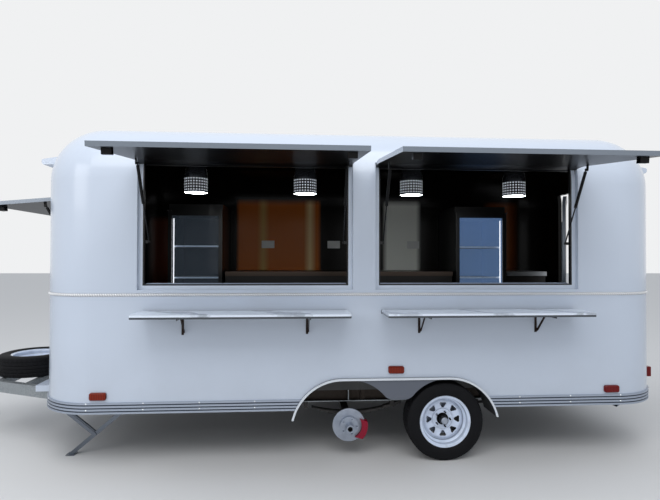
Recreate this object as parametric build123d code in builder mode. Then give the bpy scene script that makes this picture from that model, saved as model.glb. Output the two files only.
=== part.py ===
"""Tandem-axle food trailer, parked with its hatches up and its near front wheel off.

Millimetres. x runs to the rear, y to the far side, z up. The ground is z = 0 and the
origin is under the foot of the drawbar jack. The serving side faces -y.
"""

import os
from math import atan2, cos, degrees, radians, sin, sqrt

from build123d import *

os.makedirs("parts", exist_ok=True)

# Body: a rounded box, its roof edge rounded down into all four walls.
body_length = 4900
body_width = 2100
body_front = 1000
corner_r = 440
shoulder_r = 430
roof_z = 2568
skirt_z = 415
eave_z = 2276
wall_t = 40
body_end = body_front + body_length
body_mid = body_front + body_length / 2
half_width = body_width / 2
side_front = body_front + corner_r
side_end = body_end - corner_r
shoulder_z = roof_z - shoulder_r

# Floor and frame.
floor_z = 535
floor_t = 40
frame_z = floor_z - floor_t
rail_h = 100
rail_w = 50
rail_y = 760
seat_gap = 0.3

# Hatches close flush in the wall against a black stop frame.
hatch_t = 30
hatch_gap = 5
stop_w = 41
stop_gap = 5
stop_t = 30
serving_w = 1508
serving_pitch = 1763
sill_z = 1350
serving_open = 84
nose_w = 1100
nose_sill_z = 1530
nose_top_z = 2040
nose_open = 85

# Running gear.
wheel_z = 298
wheel_r = wheel_z
tyre_w = 185
track_y = 953
wheel_x = (body_mid - 100, body_mid + 628)
hub_out = 0
bare_hub_z = 250
mount_y = track_y + hub_out


def box_between(x, y, z, mode=Mode.ADD):
    """Box between two limits along each axis."""
    middle = tuple((low + high) / 2 for low, high in (x, y, z))
    with Locations(middle):
        return Box(x[1] - x[0], y[1] - y[0], z[1] - z[0], mode=mode)


def save(part, label):
    """Name a finished piece and write its file."""
    part.label = label
    export_step(part, f"parts/{label}.step")


# Body panels.
def body_block(inset, low=skirt_z):
    """Solid body outline pulled in by inset, from low up to the roof."""
    with BuildPart() as block:
        with BuildSketch(Plane.XY.offset(low)):
            with Locations((body_mid, 0)):
                RectangleRounded(
                    body_length - 2 * inset, body_width - 2 * inset, corner_r - inset
                )
        extrude(amount=roof_z - inset - low)
        fillet(block.faces().sort_by(Axis.Z)[-1].edges(), shoulder_r - inset)
    return block.part


def body_skin(outer, inner):
    """Layer of the body between two insets, open below."""
    with BuildPart() as layer:
        add(body_block(outer))
        add(body_block(inner, skirt_z - 1), mode=Mode.SUBTRACT)
    return layer.part


def shoulder_inset(z):
    """How far the outer surface has curved in at height z."""
    rise = max(0, z - shoulder_z)
    return shoulder_r - sqrt(shoulder_r**2 - rise**2)


shell = body_skin(0, wall_t)
hatch_layer = body_skin(0, hatch_t)
stop_layer = body_skin(hatch_t + stop_gap, hatch_t + stop_gap + stop_t)
cavity = body_block(wall_t, skirt_z - 1)

across = (-half_width - 300, half_width + 300)
hatch_x = {
    "fore": body_mid - serving_pitch / 2,
    "aft": body_mid + serving_pitch / 2,
}
door_y = (-140, 580)
door_z = (floor_z + 5, 2240)

# Wheel arch seen from the side: a flat top between two round ends, cut off low.
arch_low_z = 334
arch_top_z = 632
arch_r = 375
arch_flat = (wheel_x[0] - 66, wheel_x[1] + 23)
arch_sheet = 3
arch_inner_y = 815
arch_lip = 12
arch_lip_y = half_width + 25


def arch_outline(plane, grow=0):
    """Wheel arch outline on a plane, grown all round."""
    flat = arch_flat[1] - arch_flat[0]
    middle = sum(arch_flat) / 2
    with BuildSketch(plane) as outline:
        with Locations((middle, arch_top_z - arch_r)):
            SlotCenterToCenter(flat, 2 * (arch_r + grow))
        with Locations((middle, arch_low_z - grow - arch_r)):
            Rectangle(flat + 3 * arch_r, 2 * arch_r, mode=Mode.SUBTRACT)
    return outline.sketch


def arch_prism(side, outer_y, inner_y, grow=0):
    """Prism of the wheel arch between two distances from the centreline."""
    with BuildPart() as prism:
        outline = arch_outline(Plane.XZ.offset(outer_y), grow)
        extrude(to_extrude=outline, amount=inner_y - outer_y)
        if side > 0:
            mirror(about=Plane.XZ, mode=Mode.REPLACE)
    return prism.part


# The drawbar's two rails run under the front corners.
coupler_x = -280
frame_ends = (body_front + 90, body_end - 90)
drawbar_root = (frame_ends[0] + 20, 645)
drawbar_tip = (coupler_x + 60, 28)
drawbar_h = 90
drawbar_w = 50
drawbar_top = frame_z - 5


def drawbar_rail(side, grow=0):
    """One slanting rail of the drawbar, grown all round."""
    run = drawbar_root[0] - drawbar_tip[0]
    rise = drawbar_root[1] - drawbar_tip[1]
    length = sqrt(run**2 + rise**2)
    middle_x = (drawbar_root[0] + drawbar_tip[0]) / 2
    middle_y = side * (drawbar_root[1] + drawbar_tip[1]) / 2
    with BuildPart() as rail:
        place = Location(
            (middle_x, middle_y, drawbar_top - drawbar_h / 2),
            (0, 0, side * degrees(atan2(rise, run))),
        )
        with Locations(place):
            Box(length + 2 * grow, drawbar_w + 2 * grow, drawbar_h + 2 * grow)
    return rail.part


# The shell is split where its panels meet: under the roof edge and at the corners.
with BuildPart() as walls:
    add(shell)
    split(bisect_by=Plane.XY.offset(eave_z), keep=Keep.BOTTOM)
with BuildPart() as side_walls:
    add(walls.part)
    split(bisect_by=Plane.YZ.offset(side_front), keep=Keep.TOP)
    split(bisect_by=Plane.YZ.offset(side_end), keep=Keep.BOTTOM)

# Serving wall, with a notch up to the roof edge for each hatch.
with BuildPart() as wall_serving:
    add(side_walls.part)
    split(bisect_by=Plane.XZ, keep=Keep.TOP)
    for x in hatch_x.values():
        reach = serving_w / 2 + stop_w
        box_between(
            (x - reach, x + reach), (-half_width - 5, -half_width + 150),
            (sill_z - stop_w, eave_z + 1), mode=Mode.SUBTRACT,
        )
    add(
        arch_prism(-1, half_width + 5, half_width - wall_t - 5, seat_gap),
        mode=Mode.SUBTRACT,
    )
save(wall_serving.part, "wall_serving")

with BuildPart() as wall_far:
    add(side_walls.part)
    split(bisect_by=Plane.XZ, keep=Keep.BOTTOM)
    add(
        arch_prism(1, half_width + 5, half_width - wall_t - 5, seat_gap),
        mode=Mode.SUBTRACT,
    )
save(wall_far.part, "wall_far")

# Front end with its rounded corners, the nose opening, a low ledge over the drawbar
# and notches for the drawbar's rails.
ledge_out = 150
ledge_half = half_width - corner_r
ledge_z = (466, 515)
with BuildPart() as cap_front:
    add(walls.part)
    split(bisect_by=Plane.YZ.offset(side_front), keep=Keep.BOTTOM)
    box_between(
        (body_front - ledge_out, body_front + 1), (-ledge_half, ledge_half), ledge_z
    )
    nose_reach = nose_w / 2 + stop_w
    box_between(
        (body_front - 5, body_front + 100), (-nose_reach, nose_reach),
        (nose_sill_z - stop_w, nose_top_z + 6), mode=Mode.SUBTRACT,
    )
    for side in (-1, 1):
        add(drawbar_rail(side, 1), mode=Mode.SUBTRACT)
save(cap_front.part, "cap_front")

# Rear end with the doorway.
with BuildPart() as cap_rear:
    add(walls.part)
    split(bisect_by=Plane.YZ.offset(side_end), keep=Keep.TOP)
    box_between((body_end - 100, body_end + 5), door_y, door_z, mode=Mode.SUBTRACT)
save(cap_rear.part, "cap_rear")

# Roof, with a moulded drip visor over each end.
visor_half = 600
visor_z = (2300, 2345)
visor_tip = 125


def visor_profile(x_wall, outward):
    """Side view of a drip visor that leaves the roof edge at an end wall."""
    with BuildSketch(Plane.XZ.offset(-visor_half)) as profile:
        with BuildLine():
            Polyline(
                (x_wall - outward * 90, visor_z[0] + 6),
                (x_wall + outward * (visor_tip - 12), visor_z[0]),
                (x_wall + outward * visor_tip, visor_z[0] + 14),
                (x_wall + outward * visor_tip, visor_z[1] - 8),
                (x_wall + outward * (visor_tip - 10), visor_z[1]),
                (x_wall - outward * 90, visor_z[1] + 34),
                close=True,
            )
        make_face()
    return profile.sketch


with BuildPart() as roof:
    add(body_block(0))
    for x_wall, outward in ((body_front, -1), (body_end, 1)):
        extrude(to_extrude=visor_profile(x_wall, outward), amount=2 * visor_half)
    add(cavity, mode=Mode.SUBTRACT)
    split(bisect_by=Plane.XY.offset(eave_z), keep=Keep.TOP)
save(roof.part, "roof")

# Floor deck, cut round the wheel boxes.
with BuildPart() as floor_deck:
    with BuildSketch(Plane.XY.offset(frame_z)):
        with Locations((body_mid, 0)):
            inset = wall_t + seat_gap
            RectangleRounded(
                body_length - 2 * inset, body_width - 2 * inset, corner_r - inset
            )
    extrude(amount=floor_t)
    for side in (-1, 1):
        add(
            arch_prism(side, half_width + 5, arch_inner_y, seat_gap),
            mode=Mode.SUBTRACT,
        )
save(floor_deck.part, "floor_deck")


# Wall trims.
belt_z = (1262, 1286)
belt_t = 10
skirt_trim_z = (412, 493)
skirt_rib_t = 12
skirt_base_t = 7
skirt_ribs = 4
skirt_rib_h = 13


def trim_ring(thickness, low, high):
    """Band round the outside of the body."""
    with BuildPart() as ring:
        with BuildSketch(Plane.XY.offset(low)):
            with Locations((body_mid, 0)):
                RectangleRounded(
                    body_length + 2 * thickness,
                    body_width + 2 * thickness,
                    corner_r + thickness,
                )
                RectangleRounded(body_length, body_width, corner_r, mode=Mode.SUBTRACT)
        extrude(amount=high - low)
    return ring.part


with BuildPart() as belt_trim:
    add(trim_ring(belt_t, *belt_z))
    for index in (0, -1):
        rim = belt_trim.faces().sort_by(Axis.Z)[index].outer_wire().edges()
        fillet(rim, belt_t - 1)
    box_between(
        (body_end - 50, body_end + 50), (door_y[0] - 60, door_y[1] + 60),
        (belt_z[0] - 5, belt_z[1] + 5), mode=Mode.SUBTRACT,
    )
save(belt_trim.part, "belt_trim")

with BuildPart() as skirt_trim:
    add(trim_ring(skirt_base_t, *skirt_trim_z))
    rib_step = (skirt_trim_z[1] - skirt_trim_z[0] - skirt_rib_h) / (skirt_ribs - 1)
    for rib in range(skirt_ribs):
        low = skirt_trim_z[0] + rib * rib_step
        add(trim_ring(skirt_rib_t, low, low + skirt_rib_h))
    for side in (-1, 1):
        add(
            arch_prism(side, half_width + 40, half_width - 5, arch_lip + seat_gap),
            mode=Mode.SUBTRACT,
        )
        add(drawbar_rail(side, 1), mode=Mode.SUBTRACT)
    box_between(
        (body_front - ledge_out, body_front),
        (-ledge_half - seat_gap, ledge_half + seat_gap),
        (ledge_z[0] - seat_gap, ledge_z[1]), mode=Mode.SUBTRACT,
    )
save(skirt_trim.part, "skirt_trim")


# Hatches and struts.
# Each hatch is laid out in a frame on its hinge line: x along the hinge, y into the
# body, z up. Strut pivots are (y, z) in that frame with the hatch closed: the lower
# one on the jamb, the upper one on the hatch, which carries the cylinder.
strut_in = 27
eye_r = 9
eye_t = 12
tab_r = 11
tab_t = 6
tab_gap = 0.5
pin_r = 3
cylinder_r = 11
rod_r = 5
rod_lap = 24
neck_r = 4
neck_l = 16
barrel_r = 4.5
latch_w = 56
latch_in = 70

hinge_z = eave_z - 6
hatches = {
    "fore": {
        "place": Location((hatch_x["fore"], shoulder_inset(hinge_z) - half_width, hinge_z)),
        "face": -shoulder_inset(hinge_z), "clear": serving_w, "sill": sill_z,
        "head": eave_z, "open": serving_open,
        "upper": (44, -250), "lower": (44, -605), "cylinder": 300,
    },
    "nose": {
        "place": Location((body_front, 0, nose_top_z), (0, 0, -90)),
        "face": 0, "clear": nose_w, "sill": nose_sill_z,
        "head": nose_top_z + 6, "open": nose_open,
        "upper": (60, -130), "lower": (60, -380), "cylinder": 200,
    },
}
hatches["aft"] = hatches["fore"] | {
    "place": Location((hatch_x["aft"], shoulder_inset(hinge_z) - half_width, hinge_z))
}


def opened(point, angle):
    """Where a (y, z) point of a hatch lies once it has been opened by angle."""
    a = radians(-angle)
    return (
        point[0] * cos(a) - point[1] * sin(a),
        point[0] * sin(a) + point[1] * cos(a),
    )


def strut_layout(hatch):
    """Open length and lean of a hatch's struts."""
    y, z = opened(hatch["upper"], hatch["open"])
    dy, dz = y - hatch["lower"][0], z - hatch["lower"][1]
    return sqrt(dy**2 + dz**2), degrees(atan2(-dy, dz))


def hatch_panel(hatch):
    """Open hatch: a piece of the body's outer layer with barrel, latches and tabs."""
    reach = hatch["clear"] / 2 + stop_w - hatch_gap
    rise = hatch["place"].position.Z
    foot = hatch["sill"] - stop_w + hatch_gap + 1 - rise
    inner = hatch["face"] + hatch_t
    pivot_y, pivot_z = hatch["upper"]
    strut_x = hatch["clear"] / 2 - strut_in
    with BuildPart() as panel:
        add(hatch_layer.moved(hatch["place"].inverse()))
        box_between((-reach, reach), (-60, 120), (foot, 0), mode=Mode.INTERSECT)
        with Locations(Location((0, 0, 0), (0, 90, 0))):
            Cylinder(barrel_r, 2 * reach)
        for side in (-1, 1):
            latch_x = side * (reach - latch_in - latch_w / 2)
            box_between(
                (latch_x - latch_w / 2, latch_x + latch_w / 2), (inner - 1, inner + 40),
                (foot + 40, foot + 76),
            )
            tab_x = side * (strut_x + eye_t / 2 + tab_gap + tab_t / 2)
            box_between(
                (tab_x - tab_t / 2, tab_x + tab_t / 2), (inner - 1, pivot_y),
                (pivot_z - tab_r, pivot_z + tab_r),
            )
            with Locations(Location((tab_x, pivot_y, pivot_z), (0, 90, 0))):
                Cylinder(tab_r, tab_t)
            with Locations(Location((side * strut_x, pivot_y, pivot_z), (0, 90, 0))):
                Cylinder(pin_r, eye_t + 2 * tab_gap)
    return panel.part.rotate(Axis.X, -hatch["open"]).moved(hatch["place"])


def strut_places(hatch):
    """Places of a hatch's two struts, z from the lower pivot to the upper one."""
    _, lean = strut_layout(hatch)
    y, z = hatch["lower"]
    for side in (-1, 1):
        x = side * (hatch["clear"] / 2 - strut_in)
        yield hatch["place"] * Location((x, y, z), (lean, 0, 0))


def cylinder_pair(hatch):
    """The two strut cylinders of a hatch, bored for the rods."""
    length, _ = strut_layout(hatch)
    tube = hatch["cylinder"]
    with BuildPart() as pair:
        with Locations(*strut_places(hatch)):
            with Locations((0, 0, length - tube / 2 - neck_l / 2)):
                Cylinder(cylinder_r, tube - neck_l)
            with Locations((0, 0, length - neck_l / 2)):
                Cylinder(neck_r, neck_l)
            with Locations(Location((0, 0, length), (0, 90, 0))):
                Cylinder(eye_r, eye_t)
            with Locations(Location((0, 0, length), (0, 90, 0))):
                Cylinder(pin_r + seat_gap, 40, mode=Mode.SUBTRACT)
            with Locations((0, 0, length - tube / 2 - neck_l / 2 - 2)):
                Cylinder(rod_r + seat_gap, tube - neck_l - 3, mode=Mode.SUBTRACT)
    return pair.part


def rod_pair(hatch):
    """The two strut rods of a hatch, each with a flat eye beside its jamb tab."""
    length, _ = strut_layout(hatch)
    rod = length - hatch["cylinder"] + rod_lap
    with BuildPart() as pair:
        with Locations(*strut_places(hatch)):
            with Locations((0, 0, (rod + neck_l) / 2)):
                Cylinder(rod_r, rod - neck_l)
            with Locations((0, 0, neck_l / 2)):
                Cylinder(neck_r, neck_l)
            with Locations(Location((0, 0, 0), (0, 90, 0))):
                Cylinder(eye_r, eye_t)
    return pair.part


for name in hatches:
    save(hatch_panel(hatches[name]), f"hatch_{name}")
    save(cylinder_pair(hatches[name]), f"cylinders_{name}")
    save(rod_pair(hatches[name]), f"rods_{name}")


def stop_ring(hatch):
    """Block in the shape of one stop frame, with the jamb tabs of its struts."""
    half = hatch["clear"] / 2
    rise = hatch["place"].position.Z
    low = hatch["sill"] - rise
    high = hatch["head"] - rise
    with BuildPart() as ring:
        box_between(
            (-half - stop_w, half + stop_w), (-20, 90), (low - stop_w, high)
        )
        box_between((-half, half), (-21, 91), (low, high - stop_w), mode=Mode.SUBTRACT)
    return ring.part.moved(hatch["place"])


def jamb_tabs(hatch):
    """Tabs beside the lower strut eyes, each a piece of its own on the stop frame."""
    half = hatch["clear"] / 2 - seat_gap
    y, z = hatch["lower"]
    edge = half - strut_in + eye_t / 2 + tab_gap
    middle = (half + edge) / 2
    with BuildPart() as tabs:
        for side in (-1, 1):
            ends = sorted((side * edge, side * half))
            box_between(ends, (y - 14, y), (z - tab_r, z + tab_r))
            with Locations(Location((side * middle, y, z), (0, 90, 0))):
                Cylinder(tab_r, half - edge)
    return tabs.part.moved(hatch["place"])


# Stop frames behind the three hatches.
with BuildPart() as window_frames:
    for name in hatches:
        add(stop_layer.intersect(stop_ring(hatches[name])))
        add(jamb_tabs(hatches[name]))
save(window_frames.part, "window_frames")

# Rear door, hinged at the far jamb and swung round to the far side. Its pull handle is
# a bar that stands off the outside face.
door_open = 150
door_gap = 6
door_t = 35
door_barrel_z = (650, 1950)
handle_y = door_y[0] + 70
handle_z = (1400, 1540)
handle_w = 30
handle_out = 30
handle_bar = 12
door_hinge = (body_end, door_y[1] - door_gap)
with BuildPart() as rear_door:
    add(body_skin(0, door_t))
    box_between(
        (body_end - 200, body_end + 1), (door_y[0] + door_gap, door_hinge[1]),
        (door_z[0] + door_gap, door_z[1] - door_gap), mode=Mode.INTERSECT,
    )
    with Locations((*door_hinge, sum(door_barrel_z) / 2)):
        Cylinder(door_gap - seat_gap, door_barrel_z[1] - door_barrel_z[0])
    box_between(
        (body_end - 1, body_end + handle_out),
        (handle_y - handle_w / 2, handle_y + handle_w / 2), handle_z,
    )
    box_between(
        (body_end, body_end + handle_out - handle_bar),
        (handle_y - handle_w, handle_y + handle_w),
        (handle_z[0] + handle_bar, handle_z[1] - handle_bar), mode=Mode.SUBTRACT,
    )
hinge_line = Axis((*door_hinge, 0), (0, 0, 1))
save(rear_door.part.rotate(hinge_line, door_open), "rear_door")

# Serving shelves.
# Drop-leaf shelves. Profiles are (out, up) from the hinge axis.
shelf_w = 1504
shelf_depth = 290
shelf_t = 28
shelf_top_z = 1160
shelf_off = 20
shelf_axis_y = -half_width - shelf_off
shelf_axis_z = shelf_top_z - shelf_t
bracket_in = 296
bracket_pitch = shelf_w - 2 * bracket_in
brace_drop = 130
brace_out = 110
brace_in = 10
brace_w = 16
blade_t = 6
leg_z = 980

for name, x in hatch_x.items():
    with BuildPart() as shelf:
        box_between(
            (x - shelf_w / 2, x + shelf_w / 2),
            (shelf_axis_y - shelf_depth, shelf_axis_y), (shelf_axis_z, shelf_top_z),
        )
        outer = shelf.faces().sort_by(Axis.Y)[0].edges().filter_by(Axis.Z)
        fillet(outer, 12)
        with Locations(Location((x, shelf_axis_y, shelf_axis_z), (0, 90, 0))):
            Cylinder(4, shelf_w)
        for side in (-1, 1):
            arm_x = x + side * bracket_pitch / 2 + 10
            box_between(
                (arm_x, arm_x + blade_t),
                (shelf_axis_y - shelf_depth + 30, shelf_axis_y - 10),
                (shelf_axis_z - 14, shelf_axis_z + 1),
            )
    save(shelf.part, f"shelf_{name}")

    brace_len = sqrt((brace_out + brace_in) ** 2 + (brace_drop - brace_in) ** 2)
    brace_lean = degrees(atan2(brace_out + brace_in, brace_drop - brace_in))
    with BuildPart() as braces:
        for side in (-1, 1):
            blade_x = x + side * bracket_pitch / 2 + 3.5 + blade_t / 2
            pivot = (blade_x, shelf_axis_y + brace_in, shelf_axis_z - brace_drop)
            with Locations(Location(pivot, (brace_lean, 0, 0))):
                with Locations((0, 0, brace_len / 2)):
                    Box(blade_t, brace_w, brace_len)
                for end in (0, brace_len):
                    with Locations(Location((0, 0, end), (0, 90, 0))):
                        Cylinder(brace_w / 2, blade_t)
    save(braces.part, f"shelf_braces_{name}")

with BuildPart() as shelf_rails:
    for x in hatch_x.values():
        box_between(
            (x - shelf_w / 2, x + shelf_w / 2), (-half_width - 15, -half_width),
            (shelf_axis_z - 4, shelf_axis_z + 24),
        )
        for side in (-1, 1):
            leg_x = x + side * bracket_pitch / 2
            box_between(
                (leg_x - 14, leg_x + 3), (-half_width - 4, -half_width),
                (leg_z, shelf_axis_z),
            )
            pivot_z = shelf_axis_z - brace_drop
            box_between(
                (leg_x - 3, leg_x + 3), (-half_width - 18, -half_width),
                (pivot_z - 12, pivot_z + 12),
            )
save(shelf_rails.part, "shelf_rails")

# Frame and drawbar.
beam_w = 40
cross_x = [frame_ends[0] + beam_w / 2, frame_ends[1] - beam_w / 2]
cross_x += [body_mid + x for x in (-1750, -1150, -570, 30, 630, 1230, 1830)]
cross_x.sort()
outrigger_x = [frame_ends[0] + 150, frame_ends[1] - 150]
outrigger_x += [body_mid + x for x in (-1890, -1150, -570, 1070, 1650, 1890)]
outrigger_x.sort()
outrigger_y = 930
steady_y = 720
steady_z = 370
steady_x = {1: frame_ends[0] + 20, -1: frame_ends[1] - 60}
steady_run = 690
steady_tail = 39

rail_inner_y = rail_y - rail_w / 2
rail_outer_y = rail_y + rail_w / 2
channel_t = 7
stiffener_x = [x + 10 for x in wheel_x]
steady_plate_t = 4
ear_y = 27
ear_t = 8
ear_w = 32
ear_drop = 14
pivot_r = 6
screw_r = 5
screw_start = 30
screw_end_t = 8

with BuildPart() as chassis:
    for side in (-1, 1):
        box_between(
            frame_ends, sorted((side * rail_inner_y, side * rail_outer_y)),
            (frame_z - rail_h, frame_z),
        )
        box_between(
            (frame_ends[0] - 1, frame_ends[1] + 1),
            sorted((side * (rail_inner_y + channel_t), side * (rail_outer_y + 1))),
            (frame_z - rail_h + channel_t, frame_z - channel_t), mode=Mode.SUBTRACT,
        )
        for x in stiffener_x:
            box_between(
                (x - channel_t / 2, x + channel_t / 2),
                sorted((side * rail_inner_y, side * rail_outer_y)),
                (frame_z - rail_h, frame_z),
            )
        for x in outrigger_x:
            box_between(
                (x - beam_w / 2, x + beam_w / 2),
                sorted((side * rail_y, side * outrigger_y)), (frame_z - 60, frame_z),
            )
        for facing, x in steady_x.items():
            box_between(
                sorted((x - facing * steady_tail, x + facing * steady_run)),
                sorted((side * (steady_y - 30), side * (steady_y + 30))),
                (frame_z - rail_h, frame_z - 60),
            )
    for x in cross_x:
        box_between(
            (x - beam_w / 2, x + beam_w / 2), (-rail_y, rail_y),
            (frame_z - rail_h, frame_z),
        )
save(chassis.part, "chassis")

# Steady mounts: under each frame corner a plate with two ears, the pivot pin between
# them and the screw that the leg's top slides along.
mount_top_z = frame_z - rail_h - seat_gap
mount_under_z = mount_top_z - steady_plate_t
with BuildPart() as steady_mounts:
    for facing, x in steady_x.items():
        screw = (
            x + facing * screw_start, x + facing * (steady_run - screw_end_t / 2)
        )
        for y in (-steady_y, steady_y):
            box_between(
                sorted((x - facing * steady_tail, x + facing * steady_run)),
                (y - ear_y - ear_t / 2, y + ear_y + ear_t / 2),
                (mount_under_z, mount_top_z),
            )
            for ear in (y - ear_y, y + ear_y):
                box_between(
                    (x - ear_w / 2, x + ear_w / 2), (ear - ear_t / 2, ear + ear_t / 2),
                    (steady_z - ear_drop, mount_top_z),
                )
            with Locations(Location((x, y, steady_z), (90, 0, 0))):
                Cylinder(pivot_r, 2 * ear_y)
            for end in screw:
                box_between(
                    (end - screw_end_t / 2, end + screw_end_t / 2),
                    (y - screw_r, y + screw_r), (steady_z - 8, mount_top_z),
                )
            with Locations(Location((sum(screw) / 2, y, steady_z), (0, 90, 0))):
                Cylinder(screw_r, abs(screw[1] - screw[0]) + screw_end_t)
save(steady_mounts.part, "steady_mounts")

# Corner steadies. Each is drawn in a frame on its fixed pivot with the leg towards
# +x; the leg's top slides along the screw as the brace swings.
brace_l = 330
steady_down = 40
steady_up = 5
leg_l = steady_z / sin(radians(steady_down))
plate_t = 4
bar_y = 19
bar_w = 26
flange_y = 13
flange_w = 30
link_r = 5
web_start = 50
foot_l = 64
foot_w = 70
foot_t = 8


def steady_brace(angle):
    """Pair of bars from the fixed pivot down to the leg's middle."""
    with BuildPart() as brace:
        with Locations(Location((0, 0, 0), (0, angle, 0))):
            for side in (-1, 1):
                with Locations((brace_l / 2, side * bar_y, 0)):
                    Box(brace_l, plate_t, bar_w)
                for end in (0, brace_l):
                    with Locations(Location((end, side * bar_y, 0), (90, 0, 0))):
                        Cylinder(bar_w / 2, plate_t)
            with Locations(Location((brace_l, 0, 0), (90, 0, 0))):
                Cylinder(link_r, 2 * bar_y)
            for side in (-1, 1):
                with Locations(Location((0, side * bar_y, 0), (90, 0, 0))):
                    Cylinder(pivot_r + seat_gap, 2 * plate_t, mode=Mode.SUBTRACT)
    return brace.part


def steady_leg(angle):
    """Channel leg from the screw down to its foot plate."""
    top_x = 2 * brace_l * cos(radians(angle))
    foot_tilt = steady_down - angle
    with BuildPart() as leg:
        with Locations(Location((top_x, 0, 0), (0, 180 - angle, 0))):
            for side in (-1, 1):
                with Locations((leg_l / 2, side * flange_y, 0)):
                    Box(leg_l, plate_t, flange_w)
                with Locations(Location((0, side * flange_y, 0), (90, 0, 0))):
                    Cylinder(flange_w / 2, plate_t)
            with Locations(((leg_l + web_start) / 2, 0, (flange_w - plate_t) / 2)):
                Box(leg_l - web_start, 2 * flange_y, plate_t)
            with Locations(Location((brace_l, 0, 0), (90, 0, 0))):
                Cylinder(link_r + seat_gap, 3 * flange_y, mode=Mode.SUBTRACT)
        tip = Location((top_x, 0, 0), (0, 180 - angle, 0)) * Location((leg_l, 0, 0))
        with Locations(Location(tip.position, (0, foot_tilt, 0))):
            with Locations((foot_t, 0, foot_t / 2)):
                Box(foot_l, foot_w, foot_t)
            with Locations((0, 0, -foot_l / 2)):
                Box(2 * foot_l, 2 * foot_w, foot_l, mode=Mode.SUBTRACT)
    return leg.part


steadies = {
    "front_near": (1, -1, steady_down),
    "front_far": (1, 1, steady_down),
    "rear_near": (-1, -1, steady_up),
    "rear_far": (-1, 1, steady_up),
}
for name, (facing, side, angle) in steadies.items():
    for kind, piece in (("brace", steady_brace(angle)), ("leg", steady_leg(angle))):
        if facing < 0:
            piece = piece.mirror(Plane.YZ)
        place = Location((steady_x[facing], side * steady_y, steady_z))
        save(piece.moved(place), f"steady_{kind}_{name}")

# Drawbar: two rails to the coupler, cross bars and a post for the spare wheel, and
# the plate that holds the jack.
spare_x = 546
spare_z = drawbar_top + tyre_w / 2 + seat_gap
spare_bars = (spare_x - 150, spare_x + 150)
bar_half = 25
post_r = 12
clamp_r = 48
clamp_t = 10
dish_t = 5
nose_x = coupler_x + 50
nose_w_bar = 90
jack_r = 30
jack_leg_r = 24
jack_plate = (140, 320, 12)
collar_t = 12

with BuildPart() as drawbar:
    for side in (-1, 1):
        add(drawbar_rail(side))
    box_between(
        (frame_ends[0], frame_ends[0] + 100), across, (0, 1000), mode=Mode.SUBTRACT
    )
    drawbar_slope = (drawbar_root[1] - drawbar_tip[1]) / (drawbar_root[0] - drawbar_tip[0])
    for x in spare_bars:
        reach = drawbar_tip[1] + (x - drawbar_tip[0]) * drawbar_slope
        box_between(
            (x - bar_half, x + bar_half), (-reach, reach),
            (drawbar_top - 60, drawbar_top),
        )
    box_between(spare_bars, (-30, 30), (drawbar_top - 40, drawbar_top - 10))
    clamp_z = spare_z + hub_out + dish_t + seat_gap + clamp_t / 2
    post_z = (drawbar_top - 10, clamp_z + 24)
    with Locations((spare_x, 0, sum(post_z) / 2)):
        Cylinder(post_r, post_z[1] - post_z[0])
    with Locations((spare_x, 0, clamp_z)):
        Cylinder(clamp_r, clamp_t)
    with Locations((0, 0, drawbar_top - jack_plate[2] / 2)):
        Box(*jack_plate)
    with Locations((0, 0, drawbar_top)):
        Cylinder(jack_r + collar_t, 70)
        Cylinder(jack_r, 300, mode=Mode.SUBTRACT)
    box_between(
        (nose_x, nose_x + 110), (-nose_w_bar / 2, nose_w_bar / 2),
        (drawbar_top - drawbar_h, drawbar_top),
    )
save(drawbar.part, "drawbar")

# Coupler head: a cast nose with the ball socket open below.
socket_r = 25.2
socket_depth = 30
coupler_z = drawbar_top - drawbar_h
cast_r = 12
cup_r = 42
cup_h = 68
lever_t = 14
with BuildPart() as coupler:
    with BuildSketch(Plane.YZ.offset(nose_x)):
        with Locations((0, drawbar_top - drawbar_h / 2)):
            RectangleRounded(nose_w_bar, drawbar_h, cast_r)
    with BuildSketch(Plane.YZ.offset(coupler_x + 10)):
        with Locations((0, coupler_z + (drawbar_h - 10) / 2)):
            RectangleRounded(nose_w_bar - 12, drawbar_h - 10, cast_r)
    loft()
    with Locations((coupler_x, 0, coupler_z + cup_h / 2)):
        Cylinder(cup_r, cup_h)
    with Locations((coupler_x, 0, coupler_z + socket_depth / 2)):
        Cylinder(socket_r, socket_depth, mode=Mode.SUBTRACT)
    box_between(
        (coupler_x - 8, nose_x - 1), (-lever_t / 2, lever_t / 2),
        (coupler_z + cup_h - 8, coupler_z + cup_h + 50),
    )
save(coupler.part, "coupler")

# Jack: fixed tube with a crank, sliding leg with a round foot.
jack_top_z = 780
jack_low_z = 160
jack_head = 30
crank_r = 7
crank_l = 140
crank_z = jack_top_z + 36
grip_r = 11
grip_l = 75
jack_foot_r = 75
jack_foot_t = 8
jack_boss = (34, 21)
jack_leg_top = 412


def rod_up(radius, low, high, mode=Mode.ADD):
    """Upright round bar between two heights."""
    with Locations((0, 0, (low + high) / 2)):
        return Cylinder(radius, high - low, mode=mode)


with BuildPart() as jack_tube:
    rod_up(jack_r, jack_low_z, jack_top_z)
    rod_up(jack_leg_r + 1, jack_low_z, jack_top_z - jack_head, Mode.SUBTRACT)
    rod_up(jack_r + 5, jack_top_z - 8, jack_top_z + 8)
    rod_up(crank_r + 1, jack_top_z, crank_z + 4)
    with Locations(Location((0, -crank_l / 2, crank_z), (90, 0, 0))):
        Cylinder(crank_r, crank_l + crank_r)
    with Locations((0, -crank_l, crank_z + grip_l / 2 - 3)):
        Cylinder(grip_r, grip_l)
save(jack_tube.part, "jack_tube")

with BuildPart() as jack_leg:
    rod_up(jack_foot_r, 0, jack_foot_t)
    rod_up(jack_boss[0], jack_foot_t - 1, jack_boss[1])
    rod_up(jack_leg_r, jack_foot_t, jack_leg_top)
save(jack_leg.part, "jack_leg")

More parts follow.
